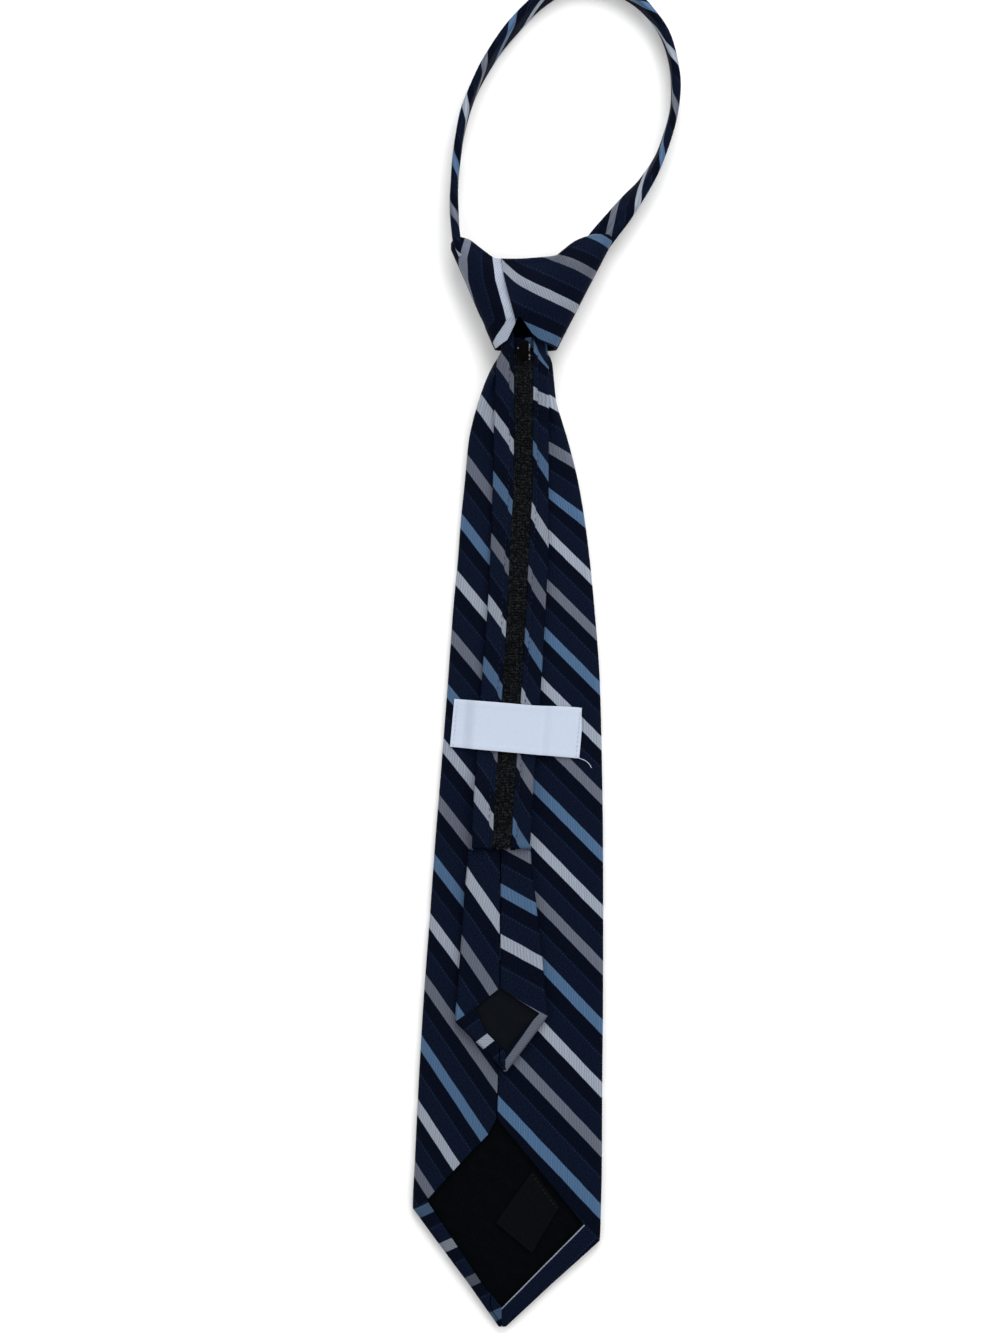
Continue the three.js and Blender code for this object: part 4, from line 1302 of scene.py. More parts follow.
@dataclass
class ZipBand:
    """One cloth band beside the zipper, folded under along both edges and sewn near one."""

    side: Side
    marks: Table
    slope: Table
    step: float = 1.2
    thick: float = 2.4
    roll: float = 0.9
    inner_roll: float = 0.55
    stitch_in: float = 1.9
    jump: float | None = None
    seed: int = 5

    @property
    def node(self) -> str:
        """Returns the band's CAD node."""
        return f"zip_band_{self.side.name.lower()}"

    def ring(self, outer: float, inner: float, low: float, high: float) -> list[Pair]:
        """Returns the band's section.

        Args:
            outer, inner: its edges across the tie.
            low, high: its heights.

        Returns:
            Places across and heights, from under the outer edge to under the inner one.
        """
        sign, roll, small = self.side.value, self.roll, self.inner_roll
        base, rise = low + 0.1, high - low - roll
        turns = [(1 - math.sin(t), 1 - math.cos(t)) for t in np.linspace(0, math.pi / 2, 6)]
        ring = [(outer - sign * 2.6, base), (outer - sign * roll, base)]
        ring += [(outer - sign * roll * s, base + rise / 2 * c) for s, c in turns[1:]]
        ring += [(outer - sign * roll * c, high - roll * s) for s, c in turns[1:]]
        ring += [(x, high) for x in np.linspace(outer - sign * roll, inner + sign * small, 18)[1:-1]]
        ring += [(inner + sign * small * s, high - small * c) for s, c in turns]
        ring += [(inner, high - 0.9), (inner + sign * 0.2, high - 1.15)]
        return ring + [(inner + sign * 1.6, high - 1.2)]

    def build(self, material: bpy.types.Material) -> bpy.types.Object:
        """Builds the band and hands it over.

        Args:
            material: the silk.

        Returns:
            The piece.
        """
        sign = self.side.value
        foot = BED.start - BED.length
        ys = np.concatenate([np.arange(BED.start, foot + 2.5, -1.1), np.linspace(foot + 2.4, foot, 7)])
        rows, lies = [], []
        for y in ys:
            outer = float(BED.edge(y, "left" if sign < 0 else "right"))
            inner = float(BED.edge(y, "middle")) + sign * BED.showing / 2
            low = float(BED.low(y))
            drop = 0.9 * (1 - math.sqrt(max(0.0, 1 - ease(foot + 1.2 - y, 0, 1.2) ** 2)))
            ring = self.ring(outer, inner, low, low + self.thick - drop)
            track = [0.0]
            for (ax, az), (bx, bz) in zip(ring, ring[1:]):
                track.append(track[-1] + math.hypot(bx - ax, bz - az))
            rest = track[6]
            rows.append([(x, y, z) for x, z in ring])
            lies.append([(outer - sign * (t - rest) if t < rest else x, y) for t, (x, _) in zip(track, ring)])
        points, flat = np.array(rows), np.array(lies)
        x, y = points[..., 0], points[..., 1]
        inner = BED.edge(y, "middle") + sign * BED.showing / 2
        line = np.abs(x - inner - sign * self.stitch_in)
        top = ease(points[..., 2] - BED.low(y), self.thick * 0.5, self.thick * 0.8)
        pucker = 0.5 + 0.5 * np.sin(2 * math.pi * y / 2.6 + 1.5 * np.sin(y * 0.31))
        points[..., 2] -= top * (0.30 + 0.22 * pucker) * hump(line, 0, 0.75)
        points[..., 2] += top * 0.16 * pucker * hump(line, 1.6, 1.2)
        points[..., 2] += top * 0.18 * ripple(x, y, (12, 26), self.seed)
        net = Net(points, flat)
        net.bm.faces.ensure_lookup_table()
        keys, counts = self.marks.column("y"), self.marks.column("count")
        known, aside = ("left", 0.0) if sign < 0 else ("middle", BED.showing / 2)

        def count(u, v) -> np.ndarray:
            """Returns the stripes' count on the band."""
            line = BED.edge(v, "middle") + sign * (BED.showing / 2 + self.stitch_in)
            met = meeting(u, v, lambda h: BED.edge(h, known) + aside, lambda h: self.slope.read("slope", h))
            return read_curve(met + self.step * ease(sign * (line - u), -0.1, 0.35), keys, counts)

        def cloth(shift: int) -> ClothRule:
            """Returns the rule of the band's cloth, moved by whole stripes."""
            return lambda x, y, z, u, v: ((count(u, v) + shift) * PITCH, sign * (0.55 * u - 0.83 * v))

        net.bm.verts.index_update()
        counted = count(*np.array([(w[net.u], w[net.v]) for w in net.bm.verts]).T)

        def above(face: Face) -> bool:
            """Returns whether a face is above the place where the run of stripes jumps."""
            return self.jump is not None and bool(np.mean([counted[w.index] for w in face.verts]) < self.jump)

        # painted shade: both runs of the band's stripes are darkened by a quarter
        net.dress({False: cloth(0), True: cloth(-1)}, above, {False: -0.25, True: -0.25})
        self.close_hem(net)
        piece = net.to_object(self.node + "_silk")
        thicken(piece, 0.5)
        return hand_over(piece, material, (self.node,))

    def close_hem(self, net: Net) -> None:
        """Turns the cloth down and under at the square lower end."""
        foot = BED.start - BED.length
        edge = [e for e in net.bm.edges if e.is_boundary and all(abs(v.co.y - foot) < 0.01 for v in e.verts)]
        layer = net.bm.loops.layers.uv["cloth"]
        for drop, back in ((0.55, 0.0), (0.35, 1.2)):
            made = bmesh.ops.extrude_edge_only(net.bm, edges=edge)["geom"]
            edge = [g for g in made if isinstance(g, bmesh.types.BMEdge) and all(w in made for w in g.verts)]
            for vert in {v for e in edge for v in e.verts}:
                low = float(BED.low(foot)) + 0.12
                vert.co.z = max(low, vert.co.z - drop)
                vert.co.y += back
            for face in (g for g in made if isinstance(g, Face)):
                for loop in face.loops:
                    near = next((f for f in loop.vert.link_faces if f is not face and f not in made), None)
                    if near:
                        loop[layer].uv = next(p for p in near.loops if p.vert is loop.vert)[layer].uv
                for loop in face.loops:
                    if loop[layer].uv.length < 1e-6:
                        known = [p for p in face.loops if p[layer].uv.length > 1e-6]
                        here = loop.vert.co.xy
                        other = min(known, key=lambda p: (p.vert.co.xy - here).length, default=loop)
                        loop[layer].uv = other[layer].uv

    def stitches(self, thread: bpy.types.Material) -> bpy.types.Object:
        """Returns the row of stitches along the zipper's edge."""
        sign = self.side.value
        path = []
        for y in np.arange(-3.0, BED.start - BED.length + 2.0, -1.3):
            x = float(BED.edge(y, "middle")) + sign * (BED.showing / 2 + self.stitch_in)
            path.append((x, y, float(BED.low(y)) + self.thick - 0.26))
        run = StitchRun([path], 2.6, 1.5, 0.22, seed=7 + sign)
        return run.build(f"band_stitches_{self.side.name.lower()}", thread)


LEFT_BAND = ZipBand(
    Side.LEFT,
    Table("y count", (
        (-4.2, 1), (-27.4, 0), (-51.9, -1), (-77.0, -2), (-101.9, -3), (-126.9, -4), (-151.9, -5),
        (-179.3, -6), (-204.6, -7),
    )),
    Table("y slope", ((0, 1.38), (-200, 1.38))),
)
RIGHT_BAND = ZipBand(
    Side.RIGHT,
    Table("y count", (
        (0.5, 0), (-18.6, 1), (-40.5, 2), (-65.6, 3), (-90.9, 4), (-116.3, 5), (-140.6, 6),
        (-166.3, 7), (-193.2, 8),
    )),
    Table("y slope", (
        (5, 2.0), (3.4, 1.9), (-2.7, 0.95), (-12, 0.5), (-20, 0.42), (-30, 0.9), (-42, 1.55), (-200, 1.55),
    )),
    step=-0.9,
    jump=1.5,
    seed=9,
)


@dataclass
class ZipStrip:
    """The closed zipper between the bands: two knit tapes and the knitted chain over them."""

    tape_thick: float = 0.9
    tape_tuck: float = 1.6
    top_share: float = 0.035
    chain_width: float = 4.4

    def ys(self, step: float) -> np.ndarray:
        """Returns places down the zipper."""
        start = BED.start - self.top_share * BED.length
        return np.arange(start, BED.start - BED.length - 0.01, -step)

    def tape(self, side: Side, material: bpy.types.Material) -> bpy.types.Object:
        """Returns one tape, handed over.

        Args:
            side: which tape.
            material: the knit.

        Returns:
            The piece.
        """
        sign = side.value
        rows = []
        for y in self.ys(0.9):
            middle = float(BED.edge(y, "middle"))
            low = float(BED.low(y)) + BED.clear + self.tape_thick
            across = np.linspace(BED.showing / 2 + self.tape_tuck - 0.15, 0.12, 10)
            rows.append([(middle + sign * a, y, low) for a in across])
        points = np.array(rows)
        x, y = points[..., 0], points[..., 1]
        points[..., 2] += 0.08 * ripple(x, y, (5, 9), 31 + sign)
        net = Net(points)
        net.dress({0: as_it_lies})
        name = side.name.lower()
        piece = net.to_object(f"zip_tape_{name}_knit")
        thicken(piece, 0.7)
        nodes, under = (f"zip_tape_{name}",), (FRONT.name,)
        return hand_over(piece, material, nodes)

    def chain(self, material: bpy.types.Material) -> bpy.types.Object:
        """Returns the knitted chain: rows of slanted loops over a soft core.

        Args:
            material: the knit.

        Returns:
            The piece.
        """
        legs = []
        for turn, shift in ((34, -0.26), (-34, 0.26)):
            paths = []
            for lane in (-1.65, -0.55, 0.55, 1.65):
                path = []
                for y in self.ys(1.5):
                    middle = float(BED.edge(y, "middle"))
                    crown = 0.35 * (1 - (lane / 2.2) ** 2)
                    path.append((middle + lane + shift, y, float(BED.low(y)) + 1.9 + crown))
                paths.append(path)
            run = StitchRun(paths, 1.12, 1.3, 0.62, turn=turn, jitter=9, seed=40 + turn)
            legs.append(run.build("legs", material))
        core = self.core()
        piece = join("zip_chain_knit", [*legs, core])
        return hand_over(piece, material, ("zip_coil",))

    def core(self) -> bpy.types.Object:
        """Returns the soft core under the loops, closed at both ends."""
        rows = []
        ys = self.ys(1.5)
        for i, y in enumerate(ys):
            middle, low = float(BED.edge(y, "middle")), float(BED.low(y))
            shrink = 0.25 if i in (0, len(ys) - 1) else 1.0
            ring = []
            for turn in np.linspace(0, 2 * math.pi, 17)[:-1]:
                across = shrink * self.chain_width / 2 * math.cos(turn)
                ring.append((middle + across, y, low + 1.65 + shrink * 0.42 * math.sin(turn)))
            rows.append(ring)
        net = Net(np.array(rows), wrap=True)
        for end in (0, 1):
            net.close([e for e in net.bm.edges if e.is_boundary and abs(e.verts[0].co.y - ys[-end]) < 0.01])
        middle = np.mean([tuple(v.co) for v in net.bm.verts], axis=0)[2]
        return net.to_object("core", up=lambda face: face.normal.z * (face.calc_center_median().z - middle))


@dataclass
class ZipSlider:
    """The slider in the foot of the knot: a rounded plate with two rails that carry painted glints, and a
    bridge.
    """

    width: float = 5.6
    plate: float = 1.0

    def build(self, material: bpy.types.Material) -> bpy.types.Object:
        """Builds the slider and hands it over.

        Args:
            material: the enamel.

        Returns:
            The piece.
        """
        low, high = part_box("zip_slider")
        middle = ((low[0] + high[0]) / 2 - ORIGIN.x) / MM
        foot, top = (low[1] - ORIGIN.y) / MM, (high[1] - ORIGIN.y) / MM
        level = high[2] / MM - self.plate
        # painted glints: the two rails take the most silver, the other bars stay nearly all black
        pieces = [
            self.bar(middle, foot, top, self.width / 2, 0.72, level, level + 0.75, -0.4),
            self.bar(middle - 2.3, foot + 0.1, top - 0.9, 0.33, 0.9, level + 0.3, level + 1.1, 0.36),
            self.bar(middle + 2.3, foot + 0.1, top - 0.9, 0.33, 0.9, level + 0.3, level + 1.1, 0.5),
            self.bar(middle, foot + 1.4, top - 1.8, 0.75, 0.8, level + 0.4, level + 1.4, -0.2),
            self.bar(middle, foot + 4.3, top - 0.35, 1.9, 0.8, level - 1.9, level + 0.2, -0.4),
        ]
        piece = join("zip_slider_metal", pieces)
        return hand_over(piece, material, ("zip_slider",))

    @staticmethod
    def bar(
        x: float, foot: float, top: float, half: float, waist: float, low: float, high: float, painted_glint: float
    ) -> bpy.types.Object:
        """Returns a closed rounded bar.

        Args:
            x: its middle line.
            foot, top: its ends along the tie.
            half: half its width.
            waist: share of the width at its ends.
            low, high: its heights.
            painted_glint: how much silver is painted on the bar as glints, from 0 to 1.

        Returns:
            The bar, with its painted glint share on each corner.
        """
        rows = []
        shares = (0.0, 0.02, 0.07, 0.16, 0.45, 0.7, 0.85, 0.94, 0.98, 1.0)
        for share in shares:
            cap = math.sqrt(max(0.0, 1 - max(abs(share - 0.5) * 2 - 0.86, 0) ** 2 / 0.14**2))
            belly = waist + (1 - waist) * math.sin(math.pi * min(share * 1.1, 1))
            wide = half * belly * (0.35 + 0.65 * cap)
            tall = (high - low) / 2 * (0.5 + 0.5 * cap)
            ring = []
            for turn in np.linspace(0, 2 * math.pi, 21)[:-1]:
                c, s = (math.copysign(abs(w) ** 0.45, w) for w in (math.cos(turn), math.sin(turn)))
                ring.append((x + wide * c, foot + share * (top - foot), (low + high) / 2 + tall * s))
            rows.append(ring)
        net = Net(np.array(rows), wrap=True)
        net.close()
        middle = (low + high) / 2
        piece = net.to_object("bar", up=lambda face: face.normal.z * (face.calc_center_median().z - middle))
        # painted glints: each corner's share of painted silver
        glint_layer = piece.data.attributes.new("painted_glint", "FLOAT", "POINT")
        glint_layer.data.foreach_set("value", [painted_glint] * len(piece.data.vertices))
        return piece


# ---------------------------------------------------------------- labels and linings


@dataclass
class Lining:
    """A lining in the mouth of a blade, faintly creased."""

    blade: FoldedBlade
    node: str
    reach: float = 1.07

    def build(self, material: bpy.types.Material, flat: Pair) -> bpy.types.Object:
        """Builds the lining and hands it over.

        Args:
            material: the satin.
            flat: its cut size in metres.

        Returns:
            The piece.
        """
        low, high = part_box(self.node)
        x0, x1 = ((low[0] - ORIGIN.x) / MM + 0.1, (high[0] - ORIGIN.x) / MM - 0.1)
        y0, y1 = ((low[1] - ORIGIN.y) / MM + 0.1, (high[1] - ORIGIN.y) / MM - 0.1)
        level = high[2] / MM
        xs = np.linspace(x0, x1, max(int((x1 - x0) / 0.9), 8))
        ys = np.linspace(y1, y0, max(int((y1 - y0) / 0.9), 8))
        x, y = np.meshgrid(xs, ys)
        crease = 0.3 * ripple(x, y, (9, 22), self.blade.seed + 5)
        crease += 0.2 * ripple(x * 0.7 + y, y - x, (6, 15), self.blade.seed + 6)
        sharp = -0.22 * np.abs(ripple(x + 0.4 * y, y, (21, 34), self.blade.seed + 7)) ** 0.5
        points = np.stack([x, y, level + crease + sharp - 0.05], axis=-1)
        net = Net(points)
        mouth = self.blade.mouth_points()
        centre = np.mean(mouth, axis=0)
        grown = [tuple(centre + (np.array(p) - centre) * self.reach) for p in mouth]
        net.cut(grown, keep=True)
        shrunk = self.within()
        net.cut(shrunk, keep=True)
        net.dress({0: as_it_lies})
        piece = net.to_object(self.node + "_satin")
        thicken(piece, 0.5)
        area = area_of(piece) / 2
        size = (flat[0], min(flat[1], area / flat[0] / 0.5))
        area = min(area, size[0] * size[1])
        nodes, under = (self.node,), (self.blade.name,)
        return hand_over(piece, material, nodes)

    def within(self) -> list[Pair]:
        """Returns the blade's outline drawn in to its hollow."""
        blade = self.blade
        downs = np.linspace(0.6, 0.975, 24)
        left, right = blade.edges(downs)
        draw = blade.wall + 1.6
        ys = blade.top - downs * blade.length
        path = [(float(a) + draw, float(y)) for a, y in zip(left, ys)]
        return path + [(float(b) - draw, float(y)) for b, y in zip(right[::-1], ys[::-1])]


@dataclass
class CareTag:
    """The bare black tag on the lining: a folded ribbon sewn down at its upper corner."""

    corners: tuple[Pair, ...] = ((0.048, 0.837), (0.190, 0.874), (0.043, 0.921), (-0.150, 0.890))
    thick: float = 0.5

    def build(self, material: bpy.types.Material, thread: bpy.types.Material) -> bpy.types.Object:
        """Builds the tag and hands it over.

        Args:
            material: the ribbon.
            thread: the thread that holds it.

        Returns:
            The piece.
        """
        p = [np.array((x * FRONT.width, -down * FRONT.length)) for x, down in self.corners]
        count = 30
        rows = []
        for i in range(count):
            t = i / (count - 1)
            a, b = p[0] + (p[3] - p[0]) * t, p[1] + (p[2] - p[1]) * t
            row = []
            for s in np.linspace(0, 1, 26):
                place = a + (b - a) * s
                edge = min(t, 1 - t, s, 1 - s)
                curl = 0.55 * ease(t, 0.72, 1.0) * (0.4 + 0.6 * s)
                bow = 0.28 * math.sin(math.pi * s) * ease(t, 0, 0.5)
                fold = 0.16 * float(hump(t, 0.33, 0.025)) - 0.12 * float(hump(edge, 0.035, 0.015))
                row.append((place[0], place[1], 3.05 + curl + bow + fold))
            rows.append(row)
        net = Net(np.array(rows))
        net.dress({0: as_it_lies})
        piece = net.to_object("care_tag_ribbon")
        thicken(piece, self.thick)
        hand_over(piece, material, ("care_tag",))
        a, b = p[0] + (p[1] - p[0]) * 0.06, p[0] + (p[1] - p[0]) * 0.94
        inward = (p[3] - p[0]) / np.linalg.norm(p[3] - p[0]) * 1.4
        path = []
        for s in np.linspace(0, 1, 12):
            path.append((*(a + inward + (b - a) * s), 3.15 + 0.028 * math.sin(math.pi * s)))
        run = StitchRun([path], 1.7, 1.2, 0.3, seed=13).build("care_tag_stitches", thread)
        return hand_over(run, thread)


@dataclass
class KeeperLabel:
    """The pale bare label that holds the tail: it bridges the bands, its ends sewn down."""

    length: float = 52.7
    width: float = 19.5
    thick: float = 0.6
    across: float = -2.9
    down: float = -153.5
    turn: float = -5.2
    margin: float = 1.0
    ramp: float = 5.5

    def place(self, u: float, v: float) -> Pair:
        """Returns a place on the tie from one on the label."""
        turn = math.radians(self.turn)
        x = self.across + u * math.cos(turn) - v * math.sin(turn)
        return x, self.down + u * math.sin(turn) + v * math.cos(turn)

    def height(self, x: float, y: float) -> float:
        """Returns the height of the label's underside."""
        reach = self.margin + self.ramp
        left = ease(x - float(BED.edge(y, "left")) + reach, 0, self.ramp)
        right = ease(float(BED.edge(y, "right")) + reach - x, 0, self.ramp)
        return 4.5 + 3.0 * float(min(left, right))

    def build(self, material: bpy.types.Material, thread: bpy.types.Material) -> bpy.types.Object:
        """Builds the label, its stitches and its loose thread, and hands them over.

        Args:
            material: the label's satin.
            thread: the pale thread.

        Returns:
            The label.
        """
        rows = []
        for v in np.linspace(self.width / 2, -self.width / 2, 26):
            row = []
            for u in np.linspace(-self.length / 2, self.length / 2, 72):
                share = u / self.length + 0.5
                top = ease(v, 0, self.width / 2)
                end = ease(share, 0.55, 1.0) * top
                bow = 0.3 * math.sin(math.pi * share) * top + 1.1 * end
                x, y = self.place(u - 0.8 * end, v + bow)
                fold = 0.12 * hump(abs(v), self.width / 2 - 1.6, 0.35)
                fold = fold + 0.16 * hump(abs(u), self.length / 2 - 3.2, 0.4)
                slack = 0.35 * math.sin(math.pi * share) * (v / self.width) ** 2 * 2
                lift = 0.25 * float(ripple(np.array(u), np.array(v), (26, 40), 51))
                row.append((x, y, self.height(x, y) + self.thick + float(fold) + slack + max(lift, -0.1)))
            rows.append(row)
        net = Net(np.array(rows))
        net.dress({0: as_it_lies})
        piece = net.to_object("keeper_label_satin")
        thicken(piece, self.thick, 0.12)
        hand_over(piece, material, ("keeper_label",))
        paths = []
        for sign in (-1, 1):
            path = []
            for v in np.linspace(self.width / 2 - 1.2, -self.width / 2 + 1.2, 14):
                x, y = self.place(sign * (self.length / 2 - 1.3), v)
                path.append((x, y, self.height(x, y) + self.thick + 0.1))
            paths.append(path)
        run = StitchRun(paths, 1.9, 1.2, 0.28, seed=17).build("keeper_label_stitches", thread)
        hand_over(run, thread)
        self.tail_thread(thread)
        return piece

    def tail_thread(self, thread: bpy.types.Material) -> None:
        """Adds the loose end of thread at the lower right corner."""
        x, y = self.place(self.length / 2 - 0.6, -self.width / 2 + 0.3)
        steps = ((0, 0, 5.2), (1.3, -0.5, 5.0), (3.0, -1.2, 4.75), (4.6, -2.6, 4.62), (5.6, -4.2, 4.58))
        route = [(x + across, y + along, height) for across, along, height in steps]
        sweep = sweep_tube("keeper_label_thread", route, 0.16, 8)
        hand_over(sweep, thread)


def sweep_tube(name: str, route: list[Triple], radius: float, sides: int) -> bpy.types.Object:
    """Returns a closed round tube along a smooth route.

    Args:
        name: the piece's name.
        route: points in tie millimetres.
        radius: the tube's radius.
        sides: corners of its section.

    Returns:
        The tube.
    """
    share = np.linspace(0, len(route) - 1, 40)
    keys = range(len(route))
    path = np.stack([read_curve(share, keys, [p[k] for p in route]) for k in range(3)], axis=-1)
    ahead = np.gradient(path, axis=0)
    ahead /= np.linalg.norm(ahead, axis=1)[:, None]
    rows = []
    for i, (p, a) in enumerate(zip(path, ahead)):
        out = np.cross(a, (0, 0, 1))
        out /= np.linalg.norm(out)
        up = np.cross(out, a)
        r = radius * (0.3 if i in (0, len(path) - 1) else 1)
        turns = np.linspace(0, 2 * math.pi, sides + 1)[:-1]
        rows.append([p + r * (math.cos(t) * out + math.sin(t) * up) for t in turns])
    net = Net(np.array(rows), wrap=True)
    net.close()
    net.bm.normal_update()
    if net.bm.calc_volume(signed=True) < 0:
        bmesh.ops.reverse_faces(net.bm, faces=net.bm.faces)
    return net.to_object(name, up=lambda face: 1.0)


# ---------------------------------------------------------------- knot

KNOT_TOP = Table(
    "off up",
    (
        (-1.00, 0.925),
        (-0.975, 0.955),
        (-0.90, 0.985),
        (-0.78, 0.965),
        (-0.67, 0.910),
        (-0.57, 0.855),
        (-0.43, 0.795),
        (-0.20, 0.793),
        (0.11, 0.806),
        (0.30, 0.822),
        (0.39, 0.870),
        (0.53, 0.945),
        (0.66, 0.985),
        (0.80, 1.010),
        (0.93, 1.010),
        (1.00, 0.985),
    ),
)
KNOT_ROWS = Table(
    "down depth middle",
    (
        (0.00, 0.62, 0.50),
        (0.05, 0.80, 0.50),
        (0.14, 0.93, 0.50),
        (0.30, 0.99, 0.50),
        (0.50, 0.97, 0.50),
        (0.70, 0.88, 0.47),
        (0.86, 0.78, 0.44),
        (1.00, 0.70, 0.42),
    ),
)


@dataclass
class Knot:
    """The knot: a front wrap and two back wraps that meet at the slanted seam."""

    height: float = 46
    depth: float = 20
    left: Pair = (-29.6, -11.9)
    right: Pair = (35.6, 13.3)
    power: float = 2.7
    wall: float = 1.3
    split: float = 11.2
    cap: float = 2.2
    seam: tuple[Pair, ...] = ((-9.7, 60.0), (-9.3, 36.3), (-7.0, 24.0), (-3.1, 11.4), (-3.1, -9.0))
    vee: tuple[Pair, ...] = (
        (-12.5, -7.0),
        (-11.8, 0.1),
        (-6.3, 3.7),
        (-3.4, 9.9),
        (-2.6, 12.0),
        (-1.2, 12.0),
        (0.6, 9.7),
        (3.2, 5.8),
        (8.0, 2.0),
        (13.2, -0.1),
        (14.0, -7.0),
    )
    left_stripes: Table = Table(
        "y white grey",
        (
            (46.0, -10.6, -22.0),
            (36.3, -11.0, -24.6),
            (27.3, -9.8, -24.4),
            (19.2, -7.5, -22.0),
            (11.0, -5.3, -20.0),
            (9.8, -5.6, -22.0),
            (5.0, -8.6, -29.4),
            (0.8, -11.0, -31.8),
        ),
    )
    right_stripes: Table = Table(
        "x blue_top grey white blue_low",
        (
            (-10.0, 64.0, 48.0, 35.2, 10.0),
            (-8.5, 62.0, 46.5, 33.6, 9.7),
            (-5.0, 59.0, 44.6, 29.8, 9.2),
            (-1.6, 55.0, 42.4, 26.9, 8.7),
            (6.5, 51.0, 39.4, 22.4, 5.6),
            (10.6, 49.0, 37.5, 20.6, 4.0),
            (21.2, 48.0, 33.0, 15.9, -0.2),
            (28.1, 45.6, 29.7, 12.9, -3.0),
            (35.0, 42.0, 26.5, 9.8, -6.0),
        ),
    )

    def surface(self, turn: float, down: float, cap: float) -> Triple:
        """Returns a point of the knot's skin.

        Args:
            turn: angle round the knot, 0 at the left and a quarter turn at the back.
            down: share of the way from the top edge to the foot.
            cap: share of the way over the rounded top edge.

        Returns:
            The point.
        """
        c, s = math.cos(turn), math.sin(turn)
        off = -math.copysign(abs(c) ** (2 / self.power), c)
        rise = math.copysign(abs(s) ** (2 / self.power), s)
        left = self.left[0] + (self.left[1] - self.left[0]) * down
        right = self.right[0] + (self.right[1] - self.right[0]) * down
        deep = float(KNOT_ROWS.read("depth", down)) * self.depth / 2
        middle = float(KNOT_ROWS.read("middle", down)) * self.depth
        over = math.sin(cap * math.pi / 2)
        deep *= math.cos(cap * math.pi / 2)
        middle += (self.split - middle) * cap
        x = (left + right) / 2 + off * ((right - left) / 2)
        up = float(KNOT_TOP.read("up", off)) * self.height
        y = up * (1 - down) + self.cap * (over - 1) * (1 - down)
        return x, y, max(middle + rise * deep, OFF_FLOOR)

    def grid(self, back: bool) -> np.ndarray:
        """Returns the net of the back wraps or of the front wrap."""
        ways = [(0.0, cap) for cap in np.linspace(0.94, 0.0, 7)[:-1]]
        ways += [(down, 0.0) for down in np.linspace(0, 1, 42)]
        rows = []
        for down, cap in ways:
            deep = float(KNOT_ROWS.read("depth", down)) * self.depth / 2 * math.cos(cap * math.pi / 2)
            middle = float(KNOT_ROWS.read("middle", down)) * self.depth
            middle += (self.split - middle) * cap
            share = min(max((self.split - middle) / max(deep, 1e-3), -0.95), 0.95)
            start = math.asin(math.copysign(abs(share) ** (self.power / 2), share))
            if back:
                turns = np.linspace(start, math.pi - start, 76)
            else:
                turns = np.linspace(math.pi - start, 2 * math.pi + start, 76)
            rows.append([self.surface(float(t), down, cap) for t in turns])
        return np.array(rows)

    def relief(self, points: np.ndarray, side: Side | None) -> None:
        """Adds the wraps' folds, the lap at the seam and the turned facet at the foot."""
        x, y, z = points[..., 0], points[..., 1], points[..., 2]
        if side is None:
            flow = 0.45 * np.sin((y * 0.8 - x * 0.35) / 4.2 + 0.6) + 0.3 * ripple(x, y, (16, 12), 71)
            points[..., 2] = np.maximum(z + flow * ease(z, 12, 2) * 0.6, 0.02)
            return
        high = ease(z, self.split + 0.5, self.split + 4)
        seam_x = read_curve(y, [p[1] for p in self.seam[::-1]], [p[0] for p in self.seam[::-1]])
        gap = x - seam_x
        if side is Side.LEFT:
            lap = -0.9 * np.exp(-((gap / 3.2) ** 2))
            facet = -0.16 * np.maximum(11.8 - y, 0) * ease(x, -14, -4)
            ridge = 0.35 * np.exp(-(((y - 12.2) / 1.1) ** 2)) * ease(x, -13, -5)
            flow = 0.5 * np.sin((x * 0.92 + y * 0.36) / 2.7 + 0.9) * ease(y, 8, 26)
            uneven = 0.45 * flow + 0.25 * ripple(x, y, (14, 30), 61)
            points[..., 2] = z + high * (lap + facet + ridge + uneven)
        else:
            lap = 0.75 * np.exp(-((gap / 2.2) ** 2)) - 0.5 * np.exp(-(((gap - 4.6) / 2.2) ** 2))
            sag = -1.1 * np.exp(-(((y - 34 + 0.25 * x) / 5.5) ** 2)) * np.exp(-(((x - 3) / 10) ** 2))
            flow = 0.5 * np.sin((y + 0.42 * x + 0.012 * (x - 12) ** 2) / 3.1 + 0.4) * ease(x, -4, 10)
            points[..., 2] = z + high * (lap + sag + 0.4 * flow + 0.25 * ripple(x, y, (26, 12), 67))

    def left_count(self, x, y) -> np.ndarray:
        """Returns the stripes' count on the left back wrap."""
        rows = self.left_stripes
        keys = [-key for key in rows.column("y")]
        white, grey = (np.interp(-y, keys, rows.column(name)) for name in ("white", "grey"))
        return (white - x) / (white - grey)

    def right_count(self, x, y) -> np.ndarray:
        """Returns the stripes' count on the right back wrap."""
        names = ("blue_low", "white", "grey", "blue_top")
        keys = np.stack([self.right_stripes.read(name, x) for name in names])
        total = np.zeros_like(y)
        for i, low in enumerate(range(-1, 2)):
            share = (y - keys[i]) / (keys[i + 1] - keys[i])
            here = (share >= 0 if i else share < 9) & (share < 1 if i < 2 else share > -9)
            total = np.where(here, low + share, total)
        return total

